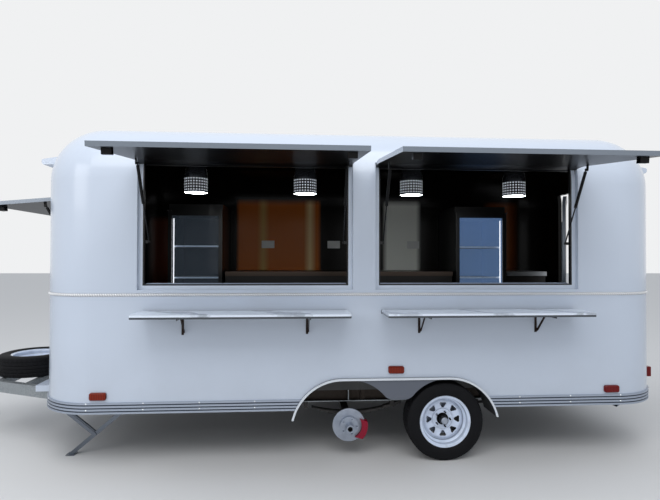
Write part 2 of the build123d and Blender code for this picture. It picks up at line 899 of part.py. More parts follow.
# Fenders: a sheet box over the wheels, a rolled lip outside and a plate that dips
# between the wheels.
dip_z = 481
dip_r = 90
plate_gap = 34
with BuildPart() as open_side:
    add(arch_prism(-1, arch_lip_y + 5, arch_inner_y - 5, -arch_sheet))
    split(bisect_by=Plane.XY.offset(frame_z), keep=Keep.BOTTOM)
with BuildPart() as fenders:
    add(arch_prism(-1, arch_lip_y, arch_inner_y))
    add(arch_prism(-1, arch_lip_y, half_width, arch_lip))
    add(
        arch_prism(-1, arch_lip_y + 5, arch_inner_y + arch_sheet, -arch_sheet),
        mode=Mode.SUBTRACT,
    )
    add(open_side.part, mode=Mode.SUBTRACT)
    with BuildSketch(Plane.XZ.offset(half_width + 12)) as plate:
        with Locations((sum(wheel_x) / 2, (dip_z + arch_top_z) / 2)):
            Rectangle(wheel_x[1] - wheel_x[0], arch_top_z - dip_z)
        with Locations(*[(x, wheel_z) for x in wheel_x]):
            Circle(wheel_r + plate_gap, mode=Mode.SUBTRACT)
        fillet(plate.vertices().group_by(Axis.Y)[0], dip_r)
    extrude(to_extrude=plate.sketch, amount=-arch_sheet)
    box_between(
        (arch_flat[0] - 2 * arch_r, arch_flat[1] + 2 * arch_r), (-arch_lip_y - 10, 0),
        (arch_low_z - 60, arch_low_z + 6), mode=Mode.SUBTRACT,
    )
    mirror(about=Plane.XZ)
save(fenders.part, "fenders")

# Lamps: two amber and one red marker on each side and a tail lamp at each rear corner.
marker_l = 120
marker_h = 55
marker_t = 22
marker_r = 15
markers = ((body_front + 506, 540), (body_mid + 243, 705), (body_end - 511, 535))
with BuildPart() as marker_lamps:
    for x, z in markers:
        with BuildSketch(Plane.XZ.offset(half_width)):
            with Locations((x, z)):
                RectangleRounded(marker_l, marker_h, marker_r)
        extrude(amount=marker_t)
    chamfer(marker_lamps.faces().sort_by(Axis.Y)[:3].edges(), marker_t / 3)
    mirror(about=Plane.XZ)
    for side in (-1, 1):
        box_between(
            (body_end - 60, body_end + 12),
            sorted((side * 640, side * 790)), (560, 640),
        )
    add(body_block(0), mode=Mode.SUBTRACT)
save(marker_lamps.part, "marker_lamps")

# Pendant lamps along the serving side.
lamp_pitch = 880
lamp_y = -700
lamp_z = 2070
lamp_r = 92
lamp_h = 118
lamp_neck = (47, 262)
lamp_cord = (6, 460)
with BuildPart() as pendant:
    with BuildSketch(Plane.XZ):
        with BuildLine():
            ring = Polyline((0, 0), (lamp_r, 0), (lamp_r, lamp_h))
            bell = TangentArc(ring @ 1, lamp_neck, tangent=(0, 1))
            Polyline(bell @ 1, (lamp_cord[0], lamp_neck[1]), lamp_cord, (0, lamp_cord[1]), (0, 0))
        make_face()
    revolve(axis=Axis.Z)
with BuildPart() as pendant_lamps:
    for x in hatch_x.values():
        for side in (-1, 1):
            add(pendant.part.moved(Location((x + side * lamp_pitch / 2, lamp_y, lamp_z))))
    add(cavity, mode=Mode.INTERSECT)
save(pendant_lamps.part, "pendant_lamps")

# Display fridges against the far wall, with hinged glazed doors.
fridge_w = 545
fridge_h = 1555
fridge_front_y = 400
fridge_back_y = 1000
fridge_wall = 30
fridge_door_t = 34
fridges = {"fore": body_mid - 1537, "aft": body_mid + 1445}
fridge_shelves = 3
fridge_open_z = (floor_z + 150, floor_z + fridge_h - 110)
fridge_door_z = (floor_z + 110, floor_z + fridge_h - 70)
fridge_hinge_y = fridge_front_y - fridge_door_t - 5
lug_t = 6
lug_r = 8
hinge_pin_r = 4
fridge_hinge_x = {
    "fore": fridges["fore"] - fridge_w / 2, "aft": fridges["aft"] + fridge_w / 2
}
with BuildPart() as fridge_cabinets:
    for x in fridges.values():
        box_between(
            (x - fridge_w / 2, x + fridge_w / 2), (fridge_front_y, fridge_back_y),
            (floor_z, floor_z + fridge_h),
        )
        box_between(
            (x - fridge_w / 2 + fridge_wall, x + fridge_w / 2 - fridge_wall),
            (fridge_front_y - 1, fridge_back_y - fridge_wall), fridge_open_z,
            mode=Mode.SUBTRACT,
        )
        for level in range(1, fridge_shelves + 1):
            rise = (fridge_open_z[1] - fridge_open_z[0]) / (fridge_shelves + 1)
            z = fridge_open_z[0] + level * rise
            box_between(
                (x - fridge_w / 2 + fridge_wall, x + fridge_w / 2 - fridge_wall),
                (fridge_front_y + 50, fridge_back_y - fridge_wall), (z - 6, z),
            )
    # Hinge lugs above and below each door.
    for name, x in fridges.items():
        hinge_x = fridge_hinge_x[name]
        outward = 1 if hinge_x > x else -1
        for low in (fridge_door_z[0] - seat_gap - lug_t, fridge_door_z[1] + seat_gap):
            box_between(
                sorted((hinge_x + outward * lug_r, hinge_x - outward * 30)),
                (fridge_hinge_y, fridge_front_y), (low, low + lug_t),
            )
            with Locations((hinge_x, fridge_hinge_y, low + lug_t / 2)):
                Cylinder(lug_r, lug_t)
                Cylinder(hinge_pin_r + seat_gap, lug_t, mode=Mode.SUBTRACT)
save(fridge_cabinets.part, "fridge_cabinets")

for name, x in fridges.items():
    with BuildPart() as fridge_door:
        box_between(
            (x - fridge_w / 2, x + fridge_w / 2),
            (fridge_hinge_y, fridge_hinge_y + fridge_door_t), fridge_door_z,
        )
        box_between(
            (x - fridge_w / 2 + 38, x + fridge_w / 2 - 38), (0, fridge_front_y),
            (fridge_door_z[0] + 50, fridge_door_z[1] - 50), mode=Mode.SUBTRACT,
        )
        for end in fridge_door_z:
            with Locations((fridge_hinge_x[name], fridge_hinge_y, end)):
                Cylinder(hinge_pin_r, 2 * lug_t)
    save(fridge_door.part, f"fridge_door_{name}")

# Worktop and closed base cupboards along the far wall, in three runs.
bench_z = 1400
bench_top_t = 45
bench_front_y = 400
bench_back_y = 1000
bench_gap = (24.5, 22.5)
bench_end = body_end - 270
bench_runs = (
    (
        fridges["fore"] + fridge_w / 2 + bench_gap[0],
        fridges["aft"] - fridge_w / 2 - bench_gap[1],
    ),
    (fridges["aft"] + fridge_w / 2 + bench_gap[1], bench_end),
)
board_t = 20
plinth_h = 110
with BuildPart() as workbench:
    for low, high in bench_runs:
        box_between(
            (low, high), (bench_front_y, bench_back_y), (bench_z - bench_top_t, bench_z)
        )
        box_between(
            (low, high), (bench_front_y + 30, bench_back_y),
            (floor_z + plinth_h, bench_z - bench_top_t + 1),
        )
        box_between(
            (low + board_t, high - board_t),
            (bench_front_y + 30 + board_t, bench_back_y - board_t),
            (floor_z + plinth_h + board_t, bench_z - bench_top_t), mode=Mode.SUBTRACT,
        )
        for x in (low, high - board_t):
            box_between(
                (x, x + board_t), (bench_front_y + 90, bench_back_y),
                (floor_z, floor_z + plinth_h + 1),
            )
        box_between(
            (low, high), (bench_front_y + 90, bench_front_y + 90 + board_t),
            (floor_z, floor_z + plinth_h + 1),
        )
    add(cavity, mode=Mode.INTERSECT)
save(workbench.part, "workbench")


# Wheels are drawn in a frame on the hub face, z pointing out of the vehicle.
disc_r = 127
disc_z = (-51, -39)
hub_back_z = -58
hub_back_r = 48
hat_r = 72
barrel_top_r = 29
barrel_z = 64
barrel_bore_r = 19
barrel_deep = 26
cap_r = 25
centre_r = 46
stud_pcd = 114.3
stud_r = 6
stud_count = 5
stud_z = (-2, 30)
stud_head = 12
spindle_r = 22
rim_r = 195
seat_r = 178
rim_half = 78


def hub_place(x, side, z):
    """Place of a hub face on one side of the trailer."""
    return Location((x, side * mount_y, z), (-side * 90, 0, 0))


with BuildPart() as hub:
    with BuildSketch(Plane.XZ):
        with BuildLine():
            Polyline(
                (spindle_r + seat_gap, hub_back_z), (hub_back_r, hub_back_z),
                (hub_back_r, disc_z[0]),
                (disc_r, disc_z[0]), (disc_r, disc_z[1]), (hat_r, disc_z[1]),
                (hat_r, 0), (barrel_top_r + 4, 0), (barrel_top_r, barrel_z),
                (barrel_bore_r, barrel_z), (barrel_bore_r, barrel_z - barrel_deep),
                (0, barrel_z - barrel_deep), (0, -stud_head),
                (spindle_r + seat_gap, -stud_head),
                close=True,
            )
        make_face()
    revolve(axis=Axis.Z)
    with PolarLocations(stud_pcd / 2, stud_count):
        with Locations((0, 0, sum(stud_z) / 2)):
            Cylinder(stud_r, stud_z[1] - stud_z[0])

# A wheel that is on has a dust cap over the end of its hub.
with BuildPart() as capped_hub:
    add(hub.part)
    with Locations((0, 0, barrel_z)):
        Cylinder(cap_r, 12)
    chamfer(capped_hub.faces().sort_by(Axis.Z)[-1].edges(), 4)

window_pcd = 222
window_count = 8
window_reach = 24
window_r = 6
well_r = 158
well_half = 27
hump_half = 44
lip_rise = 3
rim_points = (
    (rim_r, rim_half + lip_rise), (seat_r, rim_half - 2 * lip_rise),
    (seat_r, hump_half), (well_r, well_half), (well_r, -well_half),
    (seat_r, -hump_half), (seat_r, 2 * lip_rise - rim_half),
    (rim_r, -lip_rise - rim_half),
)
dish_points = (
    (centre_r, dish_t / 2), (78, dish_t / 2), (88, 11), (132, 15), (well_r - 1, 4)
)
with BuildPart() as rim:
    with BuildSketch(Plane.XZ):
        with BuildLine():
            Polyline([(r, z - hub_out) for r, z in rim_points])
        trace(line_width=dish_t)
        with BuildLine():
            Polyline(dish_points)
        trace(line_width=dish_t)
    revolve(axis=Axis.Z)
    with BuildSketch(Plane.XY.offset(-10)) as windows:
        with PolarLocations(window_pcd / 2, window_count):
            RegularPolygon(window_reach, 3, rotation=180)
        fillet(windows.vertices(), window_r)
    extrude(amount=60, mode=Mode.SUBTRACT)
    with PolarLocations(stud_pcd / 2, stud_count):
        Cylinder(stud_r + seat_gap, 40, mode=Mode.SUBTRACT)

# Tyre flank from bead to tread: radius and how far in from the widest point.
bead_r = seat_r + dish_t / 2 + seat_gap
tyre_flank = (
    (bead_r, 29), (rim_r + 4, 23), (rim_r + 13, 8), (240, 0), (274, 8),
    (wheel_r - 6, 24), (wheel_r, 42),
)
with BuildPart() as tyre:
    with BuildSketch(Plane.XZ):
        with BuildLine():
            flank = [(r, tyre_w / 2 - inward) for r, inward in tyre_flank]
            Polyline(flank + [(r, -z) for r, z in reversed(flank)], close=True)
        make_face()
    revolve(axis=Axis.Z)

wheels = {
    "near_rear": (wheel_x[1], -1),
    "far_front": (wheel_x[0], 1),
    "far_rear": (wheel_x[1], 1),
}
for name, (x, side) in wheels.items():
    place = hub_place(x, side, wheel_z)
    save(capped_hub.part.moved(place), f"hub_{name}")
    save(rim.part.moved(place), f"rim_{name}")
    save(tyre.part.moved(place * Location((0, 0, -hub_out))), f"tyre_{name}")
save(hub.part.moved(hub_place(wheel_x[0], -1, bare_hub_z)), "hub_near_front")

spare_place = Location((spare_x, 0, spare_z))
save(tyre.part.moved(spare_place), "spare_tyre")
save(rim.part.moved(spare_place * Location((0, 0, hub_out))), "spare_rim")


# Axles, springs and calipers.
axle_w = 60
flange_r = 62
flange_t = 8
flange_z = hub_back_z - flange_t
bracket_l = 135
bracket_h = 80
axle_end = mount_y + flange_z - flange_t / 2
caliper_r = (98, 145)
caliper_h = 140
caliper_turn = 16
caliper_t = 54
droop = wheel_z - bare_hub_z

with BuildPart() as axles:
    for x, near_z in zip(wheel_x, (bare_hub_z, wheel_z)):
        lean = degrees(atan2(wheel_z - near_z, 2 * axle_end))
        with Locations(Location((x, 0, (near_z + wheel_z) / 2), (lean, 0, 0))):
            Box(axle_w, 2 * axle_end, axle_w)
        for side, z in ((-1, near_z), (1, wheel_z)):
            with Locations(hub_place(x, side, z)):
                with Locations((0, 0, (flange_z - 8 - stud_head - 1) / 2)):
                    Cylinder(spindle_r, -flange_z + 8 - stud_head - 1)
                with Locations((0, 0, flange_z)):
                    Cylinder(flange_r, flange_t)
            ends = sorted(
                side * (mount_y + flange_z + step) for step in (-flange_t / 2, flange_t / 2)
            )
            box_between((x, x + bracket_l), ends, (z - bracket_h / 2, z + bracket_h / 2))
save(axles.part, "axles")

with BuildPart() as caliper:
    with BuildSketch(Plane.XY.offset(flange_z + flange_t / 2)):
        Circle(caliper_r[1])
        Circle(caliper_r[0], mode=Mode.SUBTRACT)
        with Locations((150, 0)):
            Rectangle(230, caliper_h, mode=Mode.INTERSECT)
    extrude(amount=caliper_t)
    with Locations((0, 0, (disc_z[0] + disc_z[1]) / 2)):
        Cylinder(disc_r + 3, disc_z[1] - disc_z[0] + 6, mode=Mode.SUBTRACT)

with BuildPart() as calipers:
    for x, side, z in (
        (wheel_x[0], -1, bare_hub_z), (wheel_x[1], -1, wheel_z),
        (wheel_x[0], 1, wheel_z), (wheel_x[1], 1, wheel_z),
    ):
        turn = Location((0, 0, 0), (0, 0, side * caliper_turn))
        add(caliper.part.moved(hub_place(x, side, z) * turn))
save(calipers.part, "calipers")

spring_w = 50
spring_reach = 330
leaf_t = 8
leaf_count = 4
leaf_step = 0.22
eye_outer_r = 12
eye_z = 362
equaliser_x = sum(wheel_x) / 2
equaliser_half = 60
equaliser_h = 20
equaliser_tilt = 18
hanger_half = 16
hanger_wall = 6
clamp_half = 45
clamp_wall = 4


def arc_frame(first, middle, last):
    """Centre and radius of the circle through three points."""
    (ax, ay), (bx, by), (cx, cy) = first, middle, last
    d = 2 * (ax * (by - cy) + bx * (cy - ay) + cx * (ay - by))
    ux = (
        (ax**2 + ay**2) * (by - cy) + (bx**2 + by**2) * (cy - ay)
        + (cx**2 + cy**2) * (ay - by)
    ) / d
    uy = (
        (ax**2 + ay**2) * (cx - bx) + (bx**2 + by**2) * (ax - cx)
        + (cx**2 + cy**2) * (bx - ax)
    ) / d
    return (ux, uy), sqrt((ax - ux) ** 2 + (ay - uy) ** 2)


def leaf_spring(side, eyes, seat):
    """Leaf pack through two eyes, lying on the axle at seat."""
    top = (seat[0], seat[1] + leaf_count * leaf_t - leaf_t / 2)
    (cx, cz), radius = arc_frame(eyes[0], top, eyes[1])
    half = (eyes[1][0] - eyes[0][0]) / 2
    with BuildPart() as pack:
        with BuildSketch(Plane.XZ.offset(-side * rail_y + spring_w / 2)):
            for leaf in range(leaf_count):
                reach = half * (1 - leaf_step * leaf)
                r = radius + leaf * leaf_t
                with BuildLine():
                    sweep_angle = degrees(2 * atan2(reach, r))
                    CenterArc((cx, cz), r, -90 - sweep_angle / 2, sweep_angle)
                trace(line_width=leaf_t)
            with Locations(*eyes):
                Circle(eye_outer_r)
        extrude(amount=-spring_w)
        box_between(
            (seat[0] - clamp_half, seat[0] + clamp_half),
            (
                side * rail_y - spring_w / 2 - clamp_wall,
                side * rail_y + spring_w / 2 + clamp_wall,
            ),
            (seat[1], seat[1] + (leaf_count + 1) * leaf_t),
        )
    return pack.part


with BuildPart() as leaf_springs:
    for side in (-1, 1):
        drop = droop * (axle_end + rail_y) / (2 * axle_end) if side < 0 else 0
        tilt = equaliser_tilt if side < 0 else 0
        front_eye = (equaliser_x - equaliser_half, eye_z - tilt)
        rear_eye = (equaliser_x + equaliser_half, eye_z + tilt)
        outer_front = (wheel_x[0] - spring_reach, eye_z)
        outer_rear = (wheel_x[1] + spring_reach, eye_z)
        seat_z = wheel_z + axle_w / 2
        add(leaf_spring(side, (outer_front, front_eye), (wheel_x[0], seat_z - drop)))
        add(leaf_spring(side, (rear_eye, outer_rear), (wheel_x[1], seat_z)))
        with BuildSketch(Plane.XZ.offset(-side * rail_y + spring_w / 2)):
            with BuildLine():
                Polyline(front_eye, rear_eye)
            trace(line_width=equaliser_h)
        extrude(amount=-spring_w)
        hanger = spring_w / 2 + hanger_wall
        for x in (outer_front[0], equaliser_x, outer_rear[0]):
            box_between(
                (x - hanger_half, x + hanger_half),
                (side * rail_y - hanger, side * rail_y + hanger),
                (eye_z - hanger_half, frame_z - rail_h),
            )
    add(axles.part, mode=Mode.SUBTRACT)
save(leaf_springs.part, "leaf_springs")
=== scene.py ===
"""Looks of a food trailer parked with its serving hatches raised.

Metres, in the frame of the solids: x to the rear, y to the closed far side, z up.
The file follows the trailer from the studio and body to the running gear.
"""

import math

import bpy
import numpy as np
from mathutils import Matrix, Vector


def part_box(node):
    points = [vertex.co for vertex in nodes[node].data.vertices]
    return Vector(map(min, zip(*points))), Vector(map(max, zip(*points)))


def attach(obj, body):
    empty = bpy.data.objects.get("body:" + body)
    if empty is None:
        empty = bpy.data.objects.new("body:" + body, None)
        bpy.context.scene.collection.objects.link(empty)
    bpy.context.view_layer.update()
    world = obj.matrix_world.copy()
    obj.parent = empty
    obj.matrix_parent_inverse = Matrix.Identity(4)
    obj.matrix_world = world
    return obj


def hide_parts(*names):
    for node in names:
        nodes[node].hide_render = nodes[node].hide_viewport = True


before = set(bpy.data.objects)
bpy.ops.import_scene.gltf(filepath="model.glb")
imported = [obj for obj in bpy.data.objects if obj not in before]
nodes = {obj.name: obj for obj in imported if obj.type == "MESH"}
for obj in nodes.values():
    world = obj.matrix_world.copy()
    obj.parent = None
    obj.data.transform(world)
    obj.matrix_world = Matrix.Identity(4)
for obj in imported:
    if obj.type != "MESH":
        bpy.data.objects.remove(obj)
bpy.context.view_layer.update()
TAU = 2 * math.pi

# Camera: stands about 3.7 m off the serving side at eye height, turned 4 degrees
# towards the rear. The lens is a phone's wide one, 27 mm on a 36 mm wide frame.
camera_data = bpy.data.cameras.new("camera")
camera_data.sensor_width = 36.0
camera_data.lens = 27.11
camera = bpy.data.objects.new("camera", camera_data)
turn = Matrix.Rotation(math.radians(-3.992), 4, "Z")
pitch = Matrix.Rotation(math.radians(90.684), 4, "X")
roll = Matrix.Rotation(math.radians(0.141), 4, "Z")
camera.matrix_world = Matrix.Translation((2.930, -4.776, 1.563)) @ turn @ pitch @ roll
bpy.context.collection.objects.link(camera)
bpy.context.scene.camera = camera
bpy.context.scene.view_settings.view_transform = "Standard"


# Studio: a pale floor, an even sky that is a little brighter overhead, and two large
# soft lamps. The floor and sky look nearly white to the camera and in reflections.
def linear(code):
    """sRGB hex code, such as E4E7E8, to linear colour with alpha 1."""
    srgb = np.array([int(code[i:i + 2], 16) for i in (0, 2, 4)]) / 255
    low = srgb / 12.92
    high = ((srgb + 0.055) / 1.055) ** 2.4
    return (*np.where(srgb <= 0.04045, low, high).tolist(), 1.0)


def add_node(owner, kind, inputs=(), **settings):
    """Add a node, its kind given without ShaderNode, to a material or world.

    inputs maps sockets to values, outputs or nodes; a node stands for its first output.
    """
    tree = owner.node_tree
    node = tree.nodes.new("ShaderNode" + kind)
    for name, value in settings.items():
        setattr(node, name, value)
    for socket, value in dict(inputs).items():
        if isinstance(value, bpy.types.Node):
            value = value.outputs[0]
        if isinstance(value, bpy.types.NodeSocket):
            tree.links.new(value, node.inputs[socket])
        else:
            node.inputs[socket].default_value = value
    return node


world = bpy.data.worlds.new("studio_sky")
world.use_nodes = True
world.node_tree.nodes.clear()
bpy.context.scene.world = world
sky_way = add_node(world, "TexCoord")
sky_height = add_node(world, "SeparateXYZ", {0: sky_way.outputs["Generated"]})
sky_light = add_node(
    world, "MapRange",
    {"Value": sky_height.outputs["Z"], "From Min": -0.2, "From Max": 0.9,
     "To Min": 0.46, "To Max": 0.80},
)
sky_lit = add_node(world, "Background", {"Color": linear("EEF3FA"), "Strength": sky_light})
sky_seen = add_node(world, "Background", {"Color": linear("F0F1F2"), "Strength": 1.0})
sky_rays = add_node(world, "LightPath")
sky_shown = sky_rays.outputs["Is Camera Ray"]
for ray in ("Is Glossy Ray", "Is Transmission Ray"):
    sky_shown = add_node(
        world, "Math", {0: sky_shown, 1: sky_rays.outputs[ray]}, operation="MAXIMUM"
    )
sky_mix = add_node(world, "MixShader", {0: sky_shown, 1: sky_lit, 2: sky_seen})
add_node(world, "OutputWorld", {"Surface": sky_mix})

for name, place, aim, size, power in (
    ("lamp_above", (2.5, -5.0, 8.0), (3.4, 0.0, 1.5), 7.0, 400),
    ("lamp_front", (-4.0, -7.0, 4.5), (2.0, 0.0, 1.2), 4.0, 110),
):
    light = bpy.data.lights.new(name, "AREA")
    light.size = size
    light.energy = power
    lamp = bpy.data.objects.new(name, light)
    facing = (Vector(aim) - Vector(place)).to_track_quat("-Z", "Y")
    lamp.matrix_world = Matrix.Translation(place) @ facing.to_matrix().to_4x4()
    bpy.context.collection.objects.link(lamp)


def new_piece(name, points, faces, smooth=True):
    """Mesh object in the scene from points (n, 3) and faces."""
    mesh = bpy.data.meshes.new(name)
    mesh.from_pydata(points.tolist(), [], faces)
    mesh.polygons.foreach_set("use_smooth", np.full(len(faces), smooth))
    piece = bpy.data.objects.new(name, mesh)
    bpy.context.collection.objects.link(piece)
    return piece


def grid_mesh(name, points, wrap_u=False, uv=None, keep=None):
    """Mesh object over a grid of points[u, v, xyz]; with wrap_u its end joins its start.

    keep, if given, is a mask of the cells to draw; the others are left open.
    """
    count_u, count_v = points.shape[:2]
    number = np.arange(count_u * count_v).reshape(count_u, count_v)
    if wrap_u:
        number = np.concatenate([number, number[:1]], axis=0)
    quads = np.stack(
        [number[:-1, :-1], number[1:, :-1], number[1:, 1:], number[:-1, 1:]], axis=-1
    ).reshape(-1, 4)
    if keep is not None:
        quads = quads[keep.ravel()]
    piece = new_piece(name, points.reshape(-1, 3), quads.tolist())
    if uv is not None:
        layer = piece.data.uv_layers.new(name="UVMap")
        corner = np.empty(len(piece.data.loops), dtype=np.int64)
        piece.data.loops.foreach_get("vertex_index", corner)
        layer.data.foreach_set("uv", uv.reshape(-1, 2)[corner].astype(np.float32).ravel())
    return piece


def start_material(name, colour, **shader):
    """New node material; shader names are Principled sockets with _ for spaces."""
    material = bpy.data.materials.new(name)
    material.use_nodes = True
    main = material.node_tree.nodes["Principled BSDF"]
    main.inputs["Base Color"].default_value = linear(colour)
    for socket, value in shader.items():
        main.inputs[socket.replace("_", " ")].default_value = value
    return material, main


floor_line = np.linspace(-30, 40, 3)
floor_grid = np.stack(np.meshgrid(floor_line, floor_line, indexing="ij"), axis=-1)
floor_points = np.concatenate([floor_grid, np.zeros((3, 3, 1))], axis=-1)
studio_floor = grid_mesh("studio_floor", floor_points)
floor_paint, _ = start_material("pale_studio_floor", "DADADA", Roughness=0.9)
studio_floor.data.materials.append(floor_paint)


# Body: hand-laid glass-fibre panels with a white gel coat outside, flush-jointed at the
# corners and under the roof edge. Inside they are lined with satin black laminate, with
# upright boards in brown, tan and white on the far wall.
def dress(node, material):
    """Give a solid of the frame its material."""
    nodes[node].data.materials.clear()
    nodes[node].data.materials.append(material)


def fit_piece(piece, material, body):
    """Give a new piece its material and the body it rides."""
    piece.data.materials.append(material)
    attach(piece, body)


def feed(shader, name, output):
    """Link an output to a named input of the material's shader."""
    shader.id_data.links.new(output, shader.inputs[name])


def rest_place(material):
    """Outputs for the place of a point at rest: the vector, then its x, y and z."""
    place = add_node(material, "TexCoord").outputs["Object"]
    return place, *add_node(material, "SeparateXYZ", {0: place}).outputs


def distance(material, value, middle):
    """How far a value lies from the middle, on either side of it."""
    away = add_node(material, "Math", {0: value, 1: middle}, operation="SUBTRACT")
    return add_node(material, "Math", {0: away}, operation="ABSOLUTE")


def zone(material, limits, also="MULTIPLY"):
    """1 where all limits hold, or with MAXIMUM where any does; a limit is value, way, number."""
    share = None
    for value, way, number in limits:
        part = add_node(material, "Math", {0: value, 1: number}, operation=way)
        if share is not None:
            part = add_node(material, "Math", {0: share, 1: part}, operation=also)
        share = part
    return share


def facing_share(material, centre, low, high):
    """0 to 1 as faces turn away from a centre (3 numbers) at rest: outside is 1."""
    way = add_node(material, "TexCoord")
    arm = add_node(
        material, "VectorMath", {0: way.outputs["Object"], 1: centre}, operation="SUBTRACT"
    )
    dot = add_node(
        material, "VectorMath", {0: arm, 1: way.outputs["Normal"]}, operation="DOT_PRODUCT"
    )
    return add_node(
        material, "MapRange", {"Value": dot.outputs["Value"], "From Min": low, "From Max": high}
    )


body_middle = (3.45, 0.0, 1.4)
film_top, film_base = 0.95, 0.40
# Partly painted shade: the white gel coat is a bluish grey, C8D2E1, between its own white and the
# look of the walls in sky-lit shade.
gel_white, gel_main = start_material(
    "gel_coat_white", "C8D2E1", Roughness=0.22, Coat_Weight=0.35, Coat_Roughness=0.06,
    Specular_IOR_Level=0.5,
)
gel_place, gel_x, gel_y, gel_z = rest_place(gel_white)
# Road film: a faint grey veil that thickens from 0.95 m down to the skirt.
film_noise = add_node(
    gel_white, "TexNoise", {"Vector": gel_place, "Scale": 3.0, "Detail": 6.0, "Roughness": 0.65}
)
film_low = add_node(
    gel_white, "MapRange",
    {"Value": gel_z, "From Min": film_base, "From Max": film_top,
     "To Min": 0.40, "To Max": 0.05},
)
film_share = add_node(
    gel_white, "Math", {0: film_low, 1: film_noise.outputs["Fac"]}, operation="MULTIPLY"
)
gel_colour = add_node(
    gel_white, "Mix",
    {0: film_share, 6: linear("C8D2E1"), 7: linear("A0A6AE")}, data_type="RGBA",
)
# Boards of the lining, in metres: centre along the trailer, half width, soft edge, top, hex.
lining_colour = linear("0B0908")
boards = (
    (1.42, 0.12, 0.04, 2.02, "5A2C1C"), (2.74, 0.47, 0.02, 2.22, "BA6420"),
    (2.56, 0.03, 0.04, 2.22, "C4A460"), (3.10, 0.03, 0.04, 2.22, "F2D9A0"),
    (4.18, 0.20, 0.03, 2.22, "FBFCF2"), (5.37, 0.16, 0.06, 2.22, "6E3812"),
)
for middle, half, soft, top, code in boards:
    held = 1.0
    for value, start, full in (
        (distance(gel_white, gel_x, middle), half + soft, half - soft),
        (gel_z, top, top - 0.07),
        (gel_y, 0.95, 0.99),
    ):
        share = add_node(
            gel_white, "MapRange", {"Value": value, "From Min": start, "From Max": full}
        )
        held = add_node(gel_white, "Math", {0: share, 1: held}, operation="MULTIPLY")
    lining_colour = add_node(
        gel_white, "Mix", {0: held, 6: lining_colour, 7: linear(code)}, data_type="RGBA"
    ).outputs[2]
# The reveals of the hatch openings are white too, in to the lining, and so is all that
# stands out from the end walls: the ledge over the drawbar and the rain visors.
reveal_y, end_x = 1.0125, 2.449
stands_out = zone(gel_white, (
    (distance(gel_white, gel_y, 0.0), "GREATER_THAN", reveal_y),
    (distance(gel_white, gel_x, body_middle[0]), "GREATER_THAN", end_x),
), "MAXIMUM")
outside = add_node(
    gel_white, "Math",
    {0: facing_share(gel_white, body_middle, -0.02, 0.02), 1: stands_out}, operation="MAXIMUM",
)
skin_colour = add_node(
    gel_white, "Mix", {0: outside, 6: lining_colour, 7: gel_colour.outputs[2]}, data_type="RGBA"
)
feed(gel_main, "Base Color", skin_colour.outputs[2])
for socket, inner, outer in (("Coat Weight", 0.0, 0.35), ("Specular IOR Level", 0.12, 0.5)):
    gloss = add_node(
        gel_white, "MapRange", {"Value": outside, "To Min": inner, "To Max": outer}
    )
    feed(gel_main, socket, gloss.outputs[0])
# Long shallow waves of a hand-laid panel, about 0.6 m apart.
wave_noise = add_node(gel_white, "TexNoise", {"Vector": gel_place, "Scale": 1.6, "Detail": 2.0})
wave = add_node(
    gel_white, "Bump", {"Height": wave_noise.outputs["Fac"], "Strength": 0.06, "Distance": 0.02}
)
feed(gel_main, "Normal", wave.outputs["Normal"])
for panel in ("wall_serving", "wall_far", "cap_front", "cap_rear", "roof"):
    dress(panel, gel_white)

# Hatches and rear door: the same skin bonded in an anodised aluminium edge, lined with
# gloss black sheet below. The latches, tabs and hinge barrel are black.
anodised_edge, _ = start_material(
    "anodised_aluminium_edge", "6E7680", Metallic=0.4, Roughness=0.42
)


def panel_material(name, face_way, hinge, inner):
    """White outer face, black inner face and grey edges, told apart by the rest normal.

    Faces whose normal lies within 60 degrees of face_way are white, the opposite ones
    black; what stands more than inner below the face through the hinge is black too.
    """
    material, main = start_material(
        name, "CDD4DE", Roughness=0.2, Coat_Weight=0.3, Coat_Roughness=0.06
    )
    way = add_node(material, "TexCoord")
    dot = add_node(
        material, "VectorMath", {0: way.outputs["Normal"], 1: face_way}, operation="DOT_PRODUCT"
    )
    arm = add_node(
        material, "VectorMath", {0: way.outputs["Object"], 1: hinge}, operation="SUBTRACT"
    )
    depth = add_node(material, "VectorMath", {0: arm, 1: face_way}, operation="DOT_PRODUCT")
    top = add_node(
        material, "Math", {0: dot.outputs["Value"], 1: 0.5}, operation="GREATER_THAN"
    )
    dark = zone(material, (
        (dot.outputs["Value"], "LESS_THAN", -0.5), (depth.outputs["Value"], "LESS_THAN", inner),
    ), "MAXIMUM")
    # Partly painted shade: the white outer face is a bluish grey, CED8E6, as on the walls.
    shade = add_node(
        material, "Mix", {0: top, 6: linear("7C8590"), 7: linear("CED8E6")}, data_type="RGBA"
    )
    final = add_node(
        material, "Mix", {0: dark, 6: shade.outputs[2], 7: linear("060607")}, data_type="RGBA"
    )
    feed(main, "Base Color", final.outputs[2])
    skin = add_node(material, "Math", {0: top, 1: dark}, operation="MAXIMUM")
    for socket, share, at_none, at_full in (
        ("Metallic", skin, 0.4, 0.0), ("Coat Weight", dark, 0.3, 0.06),
        ("Roughness", dark, 0.2, 0.32), ("Specular IOR Level", dark, 0.5, 0.16),
    ):
        level = add_node(
            material, "MapRange", {"Value": share, "To Min": at_none, "To Max": at_full}
        )
        feed(main, socket, level.outputs[0])
    return material


# Each is given the way its outer face looks at rest, a point of its hinge line, and the
# depth below which it is black.
hatch_x = {"fore": 2.5685, "aft": 4.3315}
raised = math.radians(84)
nose_raised = math.radians(85)
swung = math.radians(150)
for name, x in hatch_x.items():
    dress(f"hatch_{name}", panel_material(
        f"hatch_skin_{name}", (0.0, -math.cos(raised), math.sin(raised)),
        (x, -1.0292, 2.270), -0.0100,
    ))
dress("hatch_nose", panel_material(
    "hatch_skin_nose", (-math.cos(nose_raised), 0.0, math.sin(nose_raised)),
    (1.0, 0.0, 2.040), -0.0305,
))
dress("rear_door", panel_material(
    "door_skin", (math.cos(swung), math.sin(swung), 0.0), (5.9, 0.574, 1.2), -0.2,
))

